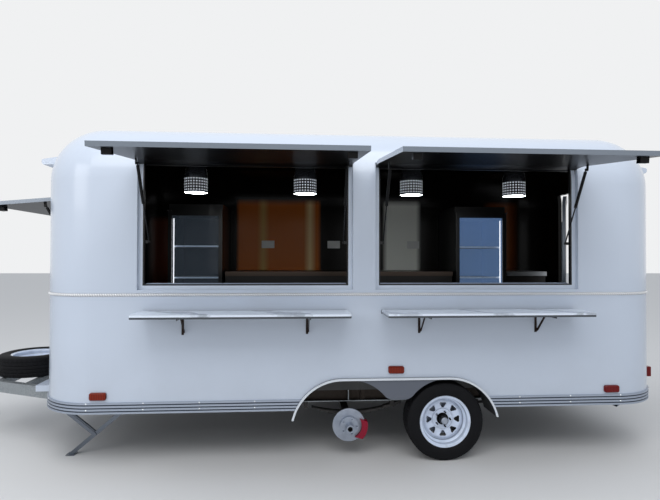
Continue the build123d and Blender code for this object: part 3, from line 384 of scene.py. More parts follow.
# Stop frames: moulded in one with the walls behind each hatch. The rebate that shows
# outside the clear opening is white like the wall, but for the 10 mm next to it, where a
# black rubber seal runs round; the reveal and inner face are black too.
black_frame, black_main = start_material("frame_enamel", "0D0E10", Roughness=0.35)
_, rebate_x, rebate_y, rebate_z = rest_place(black_frame)
seal = 0.010
serving_half, serving_sill, nose_half, nose_sill = 0.754, 1.350, 0.550, 1.530
nearer = add_node(
    black_frame, "Math",
    {0: distance(black_frame, rebate_x, hatch_x["fore"]),
     1: distance(black_frame, rebate_x, hatch_x["aft"])},
    operation="MINIMUM",
)
serving_rebate = zone(black_frame, (
    (nearer, "GREATER_THAN", serving_half + seal),
    (rebate_z, "LESS_THAN", serving_sill - seal),
), "MAXIMUM")
nose_rebate = zone(black_frame, (
    (distance(black_frame, rebate_y, 0.0), "GREATER_THAN", nose_half + seal),
    (rebate_z, "LESS_THAN", nose_sill - seal),
), "MAXIMUM")
in_nose = add_node(black_frame, "Math", {0: rebate_x, 1: 1.35}, operation="LESS_THAN")
rebate_share = add_node(black_frame, "Mix", {0: in_nose, 2: serving_rebate, 3: nose_rebate})
rebate_out = add_node(
    black_frame, "Math",
    {0: rebate_share, 1: facing_share(black_frame, body_middle, -0.01, 0.01)},
    operation="MULTIPLY",
)
frame_colour = add_node(
    black_frame, "Mix",
    {0: rebate_out, 6: linear("0B0C0E"), 7: linear("D2DBE8")}, data_type="RGBA",
)
feed(black_main, "Base Color", frame_colour.outputs[2])
dress("window_frames", black_frame)


# Belt bead: a chrome-plated moulding like a twisted rope, over the joint of the panels,
# all round the body but for the doorway. Its strands are white, a painted highlight for
# their bright chrome, and its grooves and top and bottom edges carry painted shade.
def rounded_path(out, count):
    """Points and outward ways round the body's outline, moved out by `out` metres.

    The outline is a rectangle with quarter-circle corners; the points are evenly spaced
    along it and start at the rear end of the serving side.
    """
    half_x, half_y, corner = 2.45, 1.05, 0.44
    straight_x, straight_y = half_x - corner, half_y - corner
    radius = corner + out
    arc = radius * math.pi / 2
    pieces = np.array([2 * straight_x, arc, 2 * straight_y, arc] * 2)
    ends = np.cumsum(pieces)
    along = np.linspace(0, ends[-1], count, endpoint=False)
    leg = np.searchsorted(ends, along, side="right")
    part = (along - (ends - pieces)[leg]) / pieces[leg]
    angle = -math.pi / 2 - (leg // 2) * math.pi / 2
    turn = np.where(leg % 2 == 1, angle - part * math.pi / 2, angle)
    way = np.stack([np.cos(turn), np.sin(turn)], axis=-1)
    side = np.stack([np.sin(turn), -np.cos(turn)], axis=-1)
    start_x = np.array([1, -1, -1, -1, -1, 1, 1, 1])[leg] * straight_x
    start_y = np.array([-1, -1, -1, 1, 1, 1, 1, -1])[leg] * straight_y
    base = np.stack([start_x, start_y], axis=-1)
    run = np.where(leg % 2 == 0, part * pieces[leg], 0.0)
    return np.array(body_middle[:2]) + base + side * run[:, None] + way * radius, way, along


bead_chrome, bead_main = start_material(
    "chrome_rope_bead", "FFFFFF", Metallic=0.1, Roughness=0.2
)
bead_map = add_node(bead_chrome, "UVMap")
bead_parts = add_node(bead_chrome, "SeparateXYZ", {0: bead_map.outputs["UV"]})
bead_painted_shade = add_node(
    bead_chrome, "Mix",
    {0: bead_parts.outputs["X"], 6: linear("4A5462"), 7: linear("FFFFFF")}, data_type="RGBA",
)
feed(bead_main, "Base Color", bead_painted_shade.outputs[2])
bead_low, bead_high = (corner[2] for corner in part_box("belt_trim"))
bead_pitch = 0.0175
door_low, door_high, rear_face = -0.20, 0.64, 5.89
bead_path, bead_way, bead_along = rounded_path(0.0005, 5200)
at_rear = bead_path[:, 0] > rear_face
keep = ~(at_rear & (bead_path[:, 1] > door_low) & (bead_path[:, 1] < door_high))
order = np.roll(np.arange(len(keep)), -int(np.argmin(keep)))
order = order[keep[order]]
# Profile: half an ellipse 6 to 9 mm deep; a strand climbs half a pitch over its height.
bead_turn = np.linspace(-math.pi / 2, math.pi / 2, 9)
strand = bead_along[order][:, None] / bead_pitch - 0.25 * np.sin(bead_turn)[None, :]
ridge = 0.5 + 0.5 * np.cos(TAU * strand)
bead_deep = (0.0060 + 0.0030 * ridge) * np.cos(bead_turn)[None, :]
bead_high_at = (bead_high - bead_low) / 2 * (0.84 + 0.16 * ridge)
bead_points = np.concatenate(
    [
        bead_path[order][:, None, :] + bead_way[order][:, None, :] * bead_deep[..., None],
        ((bead_low + bead_high) / 2 + bead_high_at * np.sin(bead_turn)[None, :])[..., None],
    ],
    axis=-1,
)
# Painted shade: darker between the strands and towards the top and bottom of the section.
bead_shade = ridge ** 0.4 * (1 - 0.7 * np.abs(np.sin(bead_turn)) ** 5)[None, :]
bead = grid_mesh("belt_bead", bead_points, uv=np.stack([bead_shade, ridge], axis=-1))
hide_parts("belt_trim")
fit_piece(bead, bead_chrome, "trailer")

# Skirt: an extruded aluminium strip with four ribs, mill finish gone a little dull, and
# pairs of pan-head screws about every 0.4 m on two of its ribs.
mill_aluminium, mill_main = start_material(
    "mill_finish_aluminium", "7F8894", Metallic=0.85, Roughness=0.36
)
mill_place, _, _, mill_z = rest_place(mill_aluminium)
mill_stretch = add_node(
    mill_aluminium, "Mapping", {"Vector": mill_place, "Scale": (1.0, 1.0, 160.0)}
)
mill_noise = add_node(
    mill_aluminium, "TexNoise", {"Vector": mill_stretch, "Scale": 2.0, "Detail": 4.0}
)
mill_rough = add_node(
    mill_aluminium, "MapRange",
    {"Value": mill_noise.outputs["Fac"], "To Min": 0.26, "To Max": 0.50},
)
feed(mill_main, "Roughness", mill_rough.outputs[0])
# The four ribs, 14 mm high every 22.7 mm, carry a painted highlight and the grooves painted
# shade in dark grey.
rib_foot, rib_pitch, rib_share = 0.4115, 0.022667, 0.62
rib_lift = add_node(mill_aluminium, "Math", {0: mill_z, 1: rib_foot}, operation="SUBTRACT")
rib_cell = add_node(mill_aluminium, "Math", {0: rib_lift, 1: rib_pitch}, operation="DIVIDE")
rib_part = add_node(mill_aluminium, "Math", {0: rib_cell}, operation="FRACT")
rib_groove = add_node(
    mill_aluminium, "Math", {0: rib_part, 1: rib_share}, operation="GREATER_THAN"
)
rib_painted_light = add_node(
    mill_aluminium, "Mix",
    {0: rib_groove, 6: linear("A9B2C0"), 7: linear("343A44")}, data_type="RGBA",
)
feed(mill_main, "Base Color", rib_painted_light.outputs[2])
dress("skirt_trim", mill_aluminium)


def dome_set(name, centres, ways, radius, height, rings=3, spokes=8):
    """Low screw heads: at each centre a spherical cap of that radius and height."""
    centres, ways = np.asarray(centres, float), np.asarray(ways, float)
    fall = np.linspace(0, math.pi / 2, rings)
    spin = np.linspace(0, TAU, spokes, endpoint=False)
    up = np.where(np.abs(ways[:, 2:3]) > 0.9, [[1.0, 0.0, 0.0]], [[0.0, 0.0, 1.0]])
    one = np.cross(up, ways)
    one /= np.linalg.norm(one, axis=1, keepdims=True)
    two = np.cross(ways, one)
    ring = (
        one[:, None, None] * np.cos(spin)[None, None, :, None]
        + two[:, None, None] * np.sin(spin)[None, None, :, None]
    ) * (radius * np.sin(fall))[None, :, None, None]
    lift = ways[:, None, None] * (height * np.cos(fall))[None, :, None, None]
    points = (centres[:, None, None] + ring + lift).reshape(-1, 3)
    size = rings * spokes
    first = np.arange(len(centres)) * size
    a = np.arange(rings - 1)[:, None] * spokes
    b = np.arange(spokes)[None, :]
    quad = np.stack(
        [a + b, a + spokes + b, a + spokes + (b + 1) % spokes, a + (b + 1) % spokes], axis=-1
    ).reshape(-1, 4)
    return new_piece(name, points, (first[:, None, None] + quad[None]).reshape(-1, 4).tolist())


zinc_screw, _ = start_material("zinc_plated_screw", "E4E8EC", Metallic=1.0, Roughness=0.35)
screw_path, screw_way, _ = rounded_path(0.0118, 33)
# None over the wheel arch, and none behind the drawbar.
clear_arch = ~((screw_path[:, 0] > 2.86) & (screw_path[:, 0] < 4.52))
clear_bar = ~((screw_path[:, 0] < 1.1) & (np.abs(screw_path[:, 1]) < 0.72))
chosen = clear_arch & clear_bar
screw_spots, screw_ways = [], []
for level in (0.4412, 0.4865):
    spot = np.column_stack([screw_path[chosen], np.full(chosen.sum(), level)])
    screw_spots.append(spot)
    screw_ways.append(np.column_stack([screw_way[chosen], np.zeros(chosen.sum())]))
skirt_screws = dome_set(
    "skirt_screws", np.concatenate(screw_spots), np.concatenate(screw_ways), 0.0065, 0.0040
)
fit_piece(skirt_screws, zinc_screw, "trailer")

# Pendant lamps: spun bells in black chrome with a ring punched with five rows of square holes,
# lit from inside, and an opal disc flush in the mouth. They hang on black stems.
def revolve(name, profile, place, spokes):
    """Surface of revolution: profile is (r, z) rows, turned about z at place."""
    profile = np.asarray(profile, float)
    spin = np.linspace(0, TAU, spokes + 1)
    ring = np.stack([np.cos(spin), np.sin(spin)], axis=-1)
    flat = ring[:, None, :] * profile[None, :, :1]
    high = np.broadcast_to(profile[None, :, 1:], (spokes + 1, len(profile), 1))
    points = np.concatenate([flat, high], axis=-1) + np.asarray(place, float)
    along = np.concatenate([[0], np.cumsum(np.hypot(*np.diff(profile, axis=0).T))])
    return grid_mesh(
        name, points, uv=np.stack(np.meshgrid(spin / TAU, along, indexing="ij"), axis=-1)
    )


lamp_black, _ = start_material(
    "black_chrome", "5E6268", Metallic=0.9, Roughness=0.24, Sheen_Weight=1.0,
    Sheen_Roughness=0.12,
)
opal_lit, _ = start_material(
    "lit_opal_glass", "FFFFFF", Roughness=0.4, Emission_Color=linear("F2FBFF"),
    Emission_Strength=20.0,
)
punched_ring, ring_main = start_material(
    "punched_black_ring", "0A0A0C", Roughness=0.45, Specular_IOR_Level=0.15,
    Emission_Color=linear("EAF2FF"),
)
ring_way = add_node(punched_ring, "UVMap")
ring_parts = add_node(punched_ring, "SeparateXYZ", {0: ring_way.outputs["UV"]})
# Holes: 26 round the ring in five rows 22 mm apart, each about 0.4 of its pitch wide.
hole_light = 0.9
for socket, scale in (("X", 26.0), ("Y", 1 / 0.022)):
    cell = add_node(
        punched_ring, "Math", {0: ring_parts.outputs[socket], 1: scale}, operation="MULTIPLY"
    )
    part = add_node(punched_ring, "Math", {0: cell}, operation="FRACT")
    share = add_node(
        punched_ring, "MapRange",
        {"Value": distance(punched_ring, part, 0.5), "From Min": 0.24, "From Max": 0.16},
    )
    hole_light = add_node(punched_ring, "Math", {0: share, 1: hole_light}, operation="MULTIPLY")
feed(ring_main, "Emission Strength", hole_light.outputs[0])

lamp_low, lamp_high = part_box("pendant_lamps")
lamp_base = lamp_low[2]
ceiling = lamp_high[2]
# Bell: an arc that leaves the ring upright at 92 mm and ends 47 mm wide at the neck.
lamp_r, ring_h, neck_r, neck_h = 0.092, 0.118, 0.047, 0.262
bell_r = ((lamp_r - neck_r) ** 2 + (neck_h - ring_h) ** 2) / (2 * (lamp_r - neck_r))
rise = np.linspace(0, neck_h - ring_h, 17)
bell = [(lamp_r - bell_r + math.sqrt(bell_r ** 2 - h ** 2), ring_h + h) for h in rise]
neck = [(neck_r - 0.006, neck_h + 0.002), (0.006, neck_h + 0.003)]
stem = [(0.006, ceiling - lamp_base - 0.004)]
ring = [(lamp_r, 0.009), (lamp_r, ring_h)]
lip = [(lamp_r - 0.002, 0.002), (lamp_r - 0.001, 0.0), (lamp_r, 0.009)]
disc = [(0.0005, 0.004), (lamp_r - 0.002, 0.002)]
for x in [middle + side * 0.44 for middle in hatch_x.values() for side in (-1, 1)]:
    for name, profile, spokes, material in (
        ("lamp_bell", bell + neck + stem, 48, lamp_black), ("lamp_ring", ring, 52, punched_ring),
        ("lamp_lip", lip, 52, lamp_black), ("lamp_disc", disc, 40, opal_lit),
    ):
        piece = revolve(name, profile, (x, -0.70, lamp_base), spokes)
        fit_piece(piece, material, "trailer")
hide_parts("pendant_lamps")

# Display fridges: black steel cabinets with hinged glass doors, each with a lit strip beside
# the door. Each wire shelf has a front rail; the blue liner and the rails glow as painted light.
cabinet_black, _ = start_material(
    "powder_coated_black", "08090A", Roughness=0.38, Coat_Weight=0.2
)
dress("fridge_cabinets", cabinet_black)
for name in ("fore", "aft"):
    dress(f"fridge_door_{name}", cabinet_black)


def slab(name, low, high, bevel, material, body):
    """Closed block between two corners, its edges rounded by `bevel` metres, on a body."""
    low, high = np.asarray(low, float), np.asarray(high, float)
    pick = np.array([[i, j, k] for i in (0, 1) for j in (0, 1) for k in (0, 1)])
    corners = low + pick * (high - low)
    faces = [
        (0, 1, 3, 2), (4, 6, 7, 5), (0, 4, 5, 1), (2, 3, 7, 6), (0, 2, 6, 4), (1, 5, 7, 3)
    ]
    piece = new_piece(name, corners, faces, smooth=False)
    if bevel:
        rounding = piece.modifiers.new("rounded_edges", "BEVEL")
        rounding.width = bevel
        rounding.segments = 2
    fit_piece(piece, material, body)


strip_lit, _ = start_material(
    "led_strip", "FFFFFF", Emission_Color=linear("F4F8FF"), Emission_Strength=1.5
)
# Painted light: the rails glow faintly blue, for the strip's light on them.
glowing_shelf_rail, _ = start_material(
    "plated_shelf_rail", "DCE6F2", Metallic=0.2, Roughness=0.3,
    Emission_Color=linear("8FA6C4"), Emission_Strength=0.25,
)
door_glass, _ = start_material("clear_door_glass", "C8D4E4", Roughness=0.03, Alpha=0.12)
shelf_first, shelf_pitch = 1.00875, 0.32375
liner_half, rail_half, pane_half = 0.2415, 0.236, 0.2335
for name, centre, code, liner_painted_glow, strip_side in (
    ("fore", 1.913, "18242F", 0.22, -1), ("aft", 4.895, "4A6488", 0.80, 1)
):
    # Painted light: each liner glows in its own colour, dark and faint in the fore cabinet and
    # pale and brighter in the aft one.
    liner, _ = start_material(
        f"painted_glow_liner_{name}", code, Roughness=0.5, Emission_Color=linear(code),
        Emission_Strength=liner_painted_glow,
    )
    # Liner: an open tray just inside the cabinet's hollow, five faces.
    low = (centre - liner_half, 0.404, 0.686)
    high = (centre + liner_half, 0.9690, 1.979)
    corners = np.array([
        (x, y, z) for y in (low[1], high[1])
        for x, z in ((low[0], low[2]), (high[0], low[2]), (high[0], high[2]), (low[0], high[2]))
    ])
    sides = [(4, 5, 6, 7), (0, 4, 7, 3), (5, 1, 2, 6), (3, 7, 6, 2), (0, 1, 5, 4)]
    tray = new_piece(f"fridge_liner_{name}", corners, sides, smooth=False)
    fit_piece(tray, liner, "trailer")
    edge = centre + strip_side * 0.226
    slab(
        f"fridge_strip_{name}", (edge - 0.004, 0.412, 0.72), (edge + 0.004, 0.424, 1.945),
        0.002, strip_lit, "trailer",
    )
    for level in range(3):
        top = shelf_first + shelf_pitch * level
        slab(
            f"fridge_rail_{name}_{level + 1}", (centre - rail_half, 0.438, top - 0.005),
            (centre + rail_half, 0.449, top + 0.012), 0.002, glowing_shelf_rail, "trailer",
        )
    slab(
        f"fridge_glass_{name}", (centre - pane_half, 0.374, 0.696),
        (centre + pane_half, 0.380, 1.969), 0.0, door_glass, f"fridge_door_{name}",
    )

# Worktop and cupboards: brushed stainless sheet folded over the front, on cupboards of dark
# board. Below the top face all is near black and not metallic: the board's own dark, and on
# the steel front painted shade of the cabin. The grain of the brushing runs along the bench.
stainless, steel_main = start_material(
    "brushed_stainless", "9A9C9C", Metallic=1.0, Roughness=0.32
)
steel_place, steel_x, _, steel_z = rest_place(stainless)
steel_stretch = add_node(
    stainless, "Mapping", {"Vector": steel_place, "Scale": (2.0, 240.0, 240.0)}
)
steel_noise = add_node(
    stainless, "TexNoise", {"Vector": steel_stretch, "Scale": 1.0, "Detail": 3.0}
)
steel_rough = add_node(
    stainless, "MapRange", {"Value": steel_noise.outputs["Fac"], "To Min": 0.22, "To Max": 0.44}
)
feed(steel_main, "Roughness", steel_rough.outputs[0])
is_top = add_node(stainless, "Math", {0: steel_z, 1: 1.3545}, operation="GREATER_THAN")
# Painted shade: the top is a dark brownish grey for the shade of the cabin; the run at the
# rear, which takes daylight from the doorway, keeps the plain steel grey.
rear_run = add_node(stainless, "Math", {0: steel_x, 1: 5.0}, operation="GREATER_THAN")
top_shade = add_node(
    stainless, "Mix", {0: rear_run, 6: linear("544A44"), 7: linear("C4C8CC")}, data_type="RGBA"
)
bench_colour = add_node(
    stainless, "Mix",
    {0: is_top, 6: linear("14110F"), 7: top_shade.outputs[2]}, data_type="RGBA",
)
feed(steel_main, "Base Color", bench_colour.outputs[2])
feed(steel_main, "Metallic", is_top.outputs[0])
dress("workbench", stainless)

# Sill strips: aluminium flats screwed to the inner face of each serving sill. They stand
# 6 mm over it, 5 mm behind the latches of the closed hatch.
sill_bright, _ = start_material("polished_sill_strip", "A6B4CA", Metallic=0.3, Roughness=0.3)
for name, x in hatch_x.items():
    slab(
        f"sill_strip_{name}", (x - 0.752, -0.9748, 1.336), (x + 0.752, -0.9700, 1.3562),
        0.0012, sill_bright, "trailer",
    )

# Double sockets: moulded white plates with rounded edges, screwed flat to the far wall
# above the worktop, each with two plain covers.
socket_white, _ = start_material("moulded_white_plate", "D9DAD6", Roughness=0.35)
socket_z = 1.695
for number, x in enumerate((2.615, 3.377, 4.315), start=1):
    slab(
        f"socket_plate_{number}", (x - 0.073, 1.0002, socket_z - 0.043),
        (x + 0.073, 1.0095, socket_z + 0.043), 0.003, socket_white, "trailer",
    )
    for letter, middle in (("a", x - 0.035), ("b", x + 0.035)):
        slab(
            f"socket_cover_{number}_{letter}", (middle - 0.027, 0.9965, socket_z - 0.029),
            (middle + 0.027, 1.0005, socket_z + 0.029), 0.0015, socket_white, "trailer",
        )

# Floor deck: dark vinyl glued over plywood, which lies on the frame. It is seen only
# through the doorway and from below.
deck_vinyl, _ = start_material("dark_floor_vinyl", "2A2826", Roughness=0.6)
dress("floor_deck", deck_vinyl)

# Serving shelves: white engineered marble with soft grey veins, in a metal edge band,
# on drop-leaf brackets painted dark brown.
marble, marble_main = start_material(
    "polished_marble_top", "DCDDDF", Roughness=0.16, Coat_Weight=0.3, Coat_Roughness=0.04
)
marble_place, _, _, marble_z = rest_place(marble)
marble_warp = add_node(
    marble, "TexNoise", {"Vector": marble_place, "Scale": 3.2, "Detail": 7.0, "Roughness": 0.62}
)
marble_push = add_node(
    marble, "VectorMath",
    {0: marble_warp.outputs["Color"], 1: (0.5, 0.5, 0.5), 2: marble_place},
    operation="MULTIPLY_ADD",
)
# Veins run on the slant, about 0.5 m apart.
marble_vein = add_node(
    marble, "TexWave", {"Vector": marble_push, "Scale": 0.9, "Distortion": 2.5, "Detail": 3.0},
    wave_type="BANDS", bands_direction="DIAGONAL",
)
vein_ramp = add_node(
    marble, "MapRange",
    {"Value": marble_vein.outputs["Fac"], "From Min": 0.0, "From Max": 0.16,
     "To Min": 1.0, "To Max": 0.0},
)
vein_mask = add_node(marble, "TexNoise", {"Vector": marble_place, "Scale": 5.0, "Detail": 3.0})
vein_share = add_node(
    marble, "Math", {0: vein_ramp, 1: vein_mask.outputs["Fac"]}, operation="MULTIPLY"
)
# Painted reflection: the stone's pale ground, E9F2FF, is bluish for the sky mirrored in it.
marble_colour = add_node(
    marble, "Mix", {0: vein_share, 6: linear("E9F2FF"), 7: linear("5F6570")}, data_type="RGBA"
)
# The top 14 mm are stone; below it is the metal band that carries it.
marble_way = add_node(marble, "TexCoord")
marble_face = add_node(marble, "SeparateXYZ", {0: marble_way.outputs["Normal"]})
is_stone = zone(marble, (
    (marble_face.outputs["Z"], "GREATER_THAN", 0.5),
    (marble_z, "GREATER_THAN", 1.146),
), "MAXIMUM")
shelf_colour = add_node(
    marble, "Mix", {0: is_stone, 6: linear("42474D"), 7: marble_colour.outputs[2]},
    data_type="RGBA",
)
feed(marble_main, "Base Color", shelf_colour.outputs[2])
for name in ("fore", "aft"):
    dress(f"shelf_{name}", marble)

bracket_paint, _ = start_material(
    "dark_brown_enamel", "2A1D19", Roughness=0.6, Specular_IOR_Level=0.2
)
for name in ("shelf_rails", "shelf_braces_fore", "shelf_braces_aft"):
    dress(name, bracket_paint)

# Wall rails of the shelves: flats faced with the same grey edge band as the shelves and
# screwed to the wall just below each serving opening.
for name, x in hatch_x.items():
    slab(
        f"shelf_wall_band_{name}", (x - 0.7525, -1.0658, 1.1275), (x + 0.7525, -1.0652, 1.1565),
        0.0, anodised_edge, "trailer",
    )

# Gas struts: drawn steel cylinders painted black, over ground rods with a black nitrided
# face. An eye at each end turns on a pin.
strut_paint, _ = start_material(
    "strut_black_paint", "08080A", Roughness=0.5, Specular_IOR_Level=0.2
)
rod_black, _ = start_material("nitrided_rod", "121316", Metallic=0.5, Roughness=0.3)
for name in ("fore", "aft", "nose"):
    dress(f"cylinders_{name}", strut_paint)
    dress(f"rods_{name}", rod_black)

# Marker lamps: moulded lenses, deep amber along the sides and red at the rear, fluted
# inside every 12 mm and clipped over their bases.
lens, lens_main = start_material(
    "fluted_lens", "86240A", Roughness=0.3, Specular_IOR_Level=0.2, Coat_Weight=0.08,
    Coat_Roughness=0.05,
)
lens_place, lens_x, _, _ = rest_place(lens)
lens_rear = add_node(lens, "Math", {0: lens_x, 1: 5.0}, operation="GREATER_THAN")
lens_colour = add_node(
    lens, "Mix", {0: lens_rear, 6: linear("86240A"), 7: linear("780A0E")}, data_type="RGBA"
)
lens_flute = add_node(
    lens, "TexWave",
    {"Vector": lens_place, "Scale": 26.0}, wave_type="BANDS",
    bands_direction="X",
)
lens_dark = add_node(
    lens, "Mix", {0: lens_flute.outputs["Fac"], 6: lens_colour.outputs[2], 7: linear("2A0603")},
    data_type="RGBA",
)
lens_soft = add_node(
    lens, "Mix", {0: 0.6, 6: lens_colour.outputs[2], 7: lens_dark.outputs[2]}, data_type="RGBA"
)
feed(lens_main, "Base Color", lens_soft.outputs[2])
lens_bump = add_node(
    lens, "Bump", {"Height": lens_flute.outputs["Fac"], "Strength": 0.4, "Distance": 0.002}
)
feed(lens_main, "Normal", lens_bump.outputs["Normal"])
dress("marker_lamps", lens)

# Fenders: folded sheet. The rolled lip outside is white enamel; the sheet under the arch is
# near black and mottled, as painted shade.
fender_sheet, fender_main = start_material("fender_sheet", "E8EAEB", Roughness=0.3)
fender_place, _, fender_y, _ = rest_place(fender_sheet)
fender_side = distance(fender_sheet, fender_y, 0.0)
fender_lip = add_node(
    fender_sheet, "Math", {0: fender_side, 1: 1.0655}, operation="GREATER_THAN"
)
fender_out = facing_share(fender_sheet, (3.69, 0.0, 0.30), -0.01, 0.01)
fender_white = add_node(
    fender_sheet, "Math", {0: fender_lip, 1: fender_out}, operation="MULTIPLY"
)
fender_mottle_noise = add_node(
    fender_sheet, "TexNoise", {"Vector": fender_place, "Scale": 9.0, "Detail": 6.0}
)
arch_painted_shade = add_node(
    fender_sheet, "Mix",
    {0: fender_mottle_noise.outputs["Fac"], 6: linear("1F1F20"), 7: linear("39383A")}, data_type="RGBA",
)
# The plate between the wheels is a mid grey, lighter than the sheet under the arch.
fender_plate = add_node(
    fender_sheet, "Math", {0: fender_side, 1: 1.052}, operation="GREATER_THAN"
)
fender_inner = add_node(
    fender_sheet, "Mix",
    {0: fender_plate, 6: arch_painted_shade.outputs[2], 7: linear("5C616C")}, data_type="RGBA",
)
fender_colour = add_node(
    fender_sheet, "Mix",
    {0: fender_white, 6: fender_inner.outputs[2], 7: linear("D9DFE6")}, data_type="RGBA",
)
feed(fender_main, "Base Color", fender_colour.outputs[2])
dress("fenders", fender_sheet)

# Tyres: moulded black rubber, radial. The carcass is a rounded section with ribs beside
# the bead and shoulder; the tread has four grooves round it and cross cuts between.
tyre_rubber, rubber_main = start_material(
    "moulded_tyre_rubber", "0B0C10", Roughness=0.75, Specular_IOR_Level=0.2
)
rubber_place = add_node(tyre_rubber, "TexCoord").outputs["Object"]
rubber_dust = add_node(
    tyre_rubber, "TexNoise",
    {"Vector": rubber_place, "Scale": 14.0, "Detail": 8.0, "Roughness": 0.7},
)
rubber_colour = add_node(
    tyre_rubber, "Mix",
    {0: rubber_dust.outputs["Fac"], 6: linear("060609"), 7: linear("0F1014")}, data_type="RGBA",
)
feed(rubber_main, "Base Color", rubber_colour.outputs[2])
rubber_grain = add_node(
    tyre_rubber, "Bump",
    {"Height": rubber_dust.outputs["Fac"], "Strength": 0.15, "Distance": 0.001},
)
feed(rubber_main, "Normal", rubber_grain.outputs["Normal"])


def tyre_surface(name, centre, axle):
    """Tyre about an axle: section (across, r) at each of 576 steps round it.

    The half width eases from 92 mm at mid height to 64 mm at the bead and 84 mm at the
    shoulder; the crown falls 2.4 mm to its edges. Grooves are 6 mm deep where one of four
    lines is under 3.6 mm away; cross cuts 3.8 mm deep, a little on the slant, come every
    7.5 degrees, half a step later on the right than on the left.
    """
    steps = 576
    side_r = np.linspace(0.1812, 0.284, 20)
    mid = (side_r - 0.236) / 0.055
    side_w = 0.0918 - 0.010 * mid ** 2 - np.where(mid < 0, 0.018 * np.abs(mid) ** 3, 0)
    side_w += 0.0009 * (np.abs(side_r - 0.262) < 0.0035)
    side_w += 0.0012 * (np.abs(side_r - 0.203) < 0.004)
    shoulder_r = np.array([0.2885, 0.2925, 0.295])
    shoulder_w = np.array([0.0812, 0.0785, 0.0745])
    crown_w = np.linspace(0.071, -0.071, 57)
    crown_r = 0.2978 - 0.0024 * (crown_w / 0.071) ** 2
    lines = np.array([-0.045, -0.015, 0.015, 0.045])
    groove = np.min(np.abs(crown_w[:, None] - lines[None]), axis=1) < 0.0036
    crown_r = crown_r - 0.0060 * groove
    across = np.concatenate([side_w, shoulder_w, crown_w, -shoulder_w[::-1], -side_w[::-1]])
    radius = np.concatenate([side_r, shoulder_r, crown_r, shoulder_r[::-1], side_r[::-1]])
    turn = np.linspace(0, TAU, steps, endpoint=False)
    phase = (turn[:, None] / TAU * 48 + 0.5 * (across[None] < 0) + 6.0 * across[None]) % 1
    cut = (phase < 0.17) & (np.abs(across)[None] < 0.0775) & (np.abs(across)[None] > 0.017)
    cut &= radius[None] > 0.292
    round_r = radius[None] - 0.0038 * cut
    basis = np.array(Vector(axle).to_track_quat("Z", "Y").to_matrix())
    local = np.stack(
        [round_r * np.cos(turn)[:, None], round_r * np.sin(turn)[:, None],
         np.broadcast_to(across[None], round_r.shape)], axis=-1,
    )
    return grid_mesh(name, local @ basis.T + np.asarray(centre), wrap_u=True)


front_x, rear_x, wheel_y, wheel_z = 3.350, 4.078, 0.953, 0.298
tyre_places = {
    "tyre_near_rear": ((rear_x, -wheel_y, wheel_z), (0, -1, 0), "wheel_near_rear"),
    "tyre_far_front": ((front_x, wheel_y, wheel_z), (0, 1, 0), "wheel_far_front"),
    "tyre_far_rear": ((rear_x, wheel_y, wheel_z), (0, 1, 0), "wheel_far_rear"),
}
spare_low, spare_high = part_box("spare_tyre")
spare_centre = tuple((a + b) / 2 for a, b in zip(spare_low, spare_high))
tyre_places["spare_tyre"] = (spare_centre, (0, 0, 1), "trailer")
for name, (centre, axle, body) in tyre_places.items():
    tyre = tyre_surface(f"{name}_tread", centre, axle)
    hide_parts(name)
    fit_piece(tyre, tyre_rubber, body)

# Rims: a dish with eight windows pressed from steel sheet and welded into a rolled
# barrel, in white enamel, with brake dust, and painted shade along the grooves and seams.
rim_enamel, rim_main = start_material(
    "white_rim_enamel", "D9E4F6", Roughness=0.25, Coat_Weight=0.4, Coat_Roughness=0.08
)
rim_place = add_node(rim_enamel, "TexCoord").outputs["Object"]
rim_noise = add_node(
    rim_enamel, "TexNoise", {"Vector": rim_place, "Scale": 18.0, "Detail": 5.0}
)
rim_dust = add_node(
    rim_enamel, "MapRange",
    {"Value": rim_noise.outputs["Fac"], "From Min": 0.45, "From Max": 0.75,
     "To Min": 0.0, "To Max": 0.35},
)
rim_colour = add_node(
    rim_enamel, "Mix", {0: rim_dust, 6: linear("D6E2F6"), 7: linear("9AA1AC")}, data_type="RGBA"
)
# Painted shade: dark grey lines at the dish's step, where the dish meets the barrel and in
# the bead seat; radii from the UV map.
rim_map = add_node(rim_enamel, "UVMap")
rim_radius = add_node(rim_enamel, "SeparateXYZ", {0: rim_map.outputs["UV"]})
rim_shown = rim_colour.outputs[2]
for seam, half in ((0.0785, 0.0016), (0.1585, 0.0030), (0.1765, 0.0022)):
    seam_painted_shade = add_node(
        rim_enamel, "MapRange",
        {"Value": distance(rim_enamel, rim_radius.outputs["X"], seam), "From Min": half,
         "From Max": 0.0, "To Max": 0.75},
    )
    rim_shown = add_node(
        rim_enamel, "Mix", {0: seam_painted_shade, 6: rim_shown, 7: linear("3F4550")}, data_type="RGBA"
    ).outputs[2]
feed(rim_main, "Base Color", rim_shown)


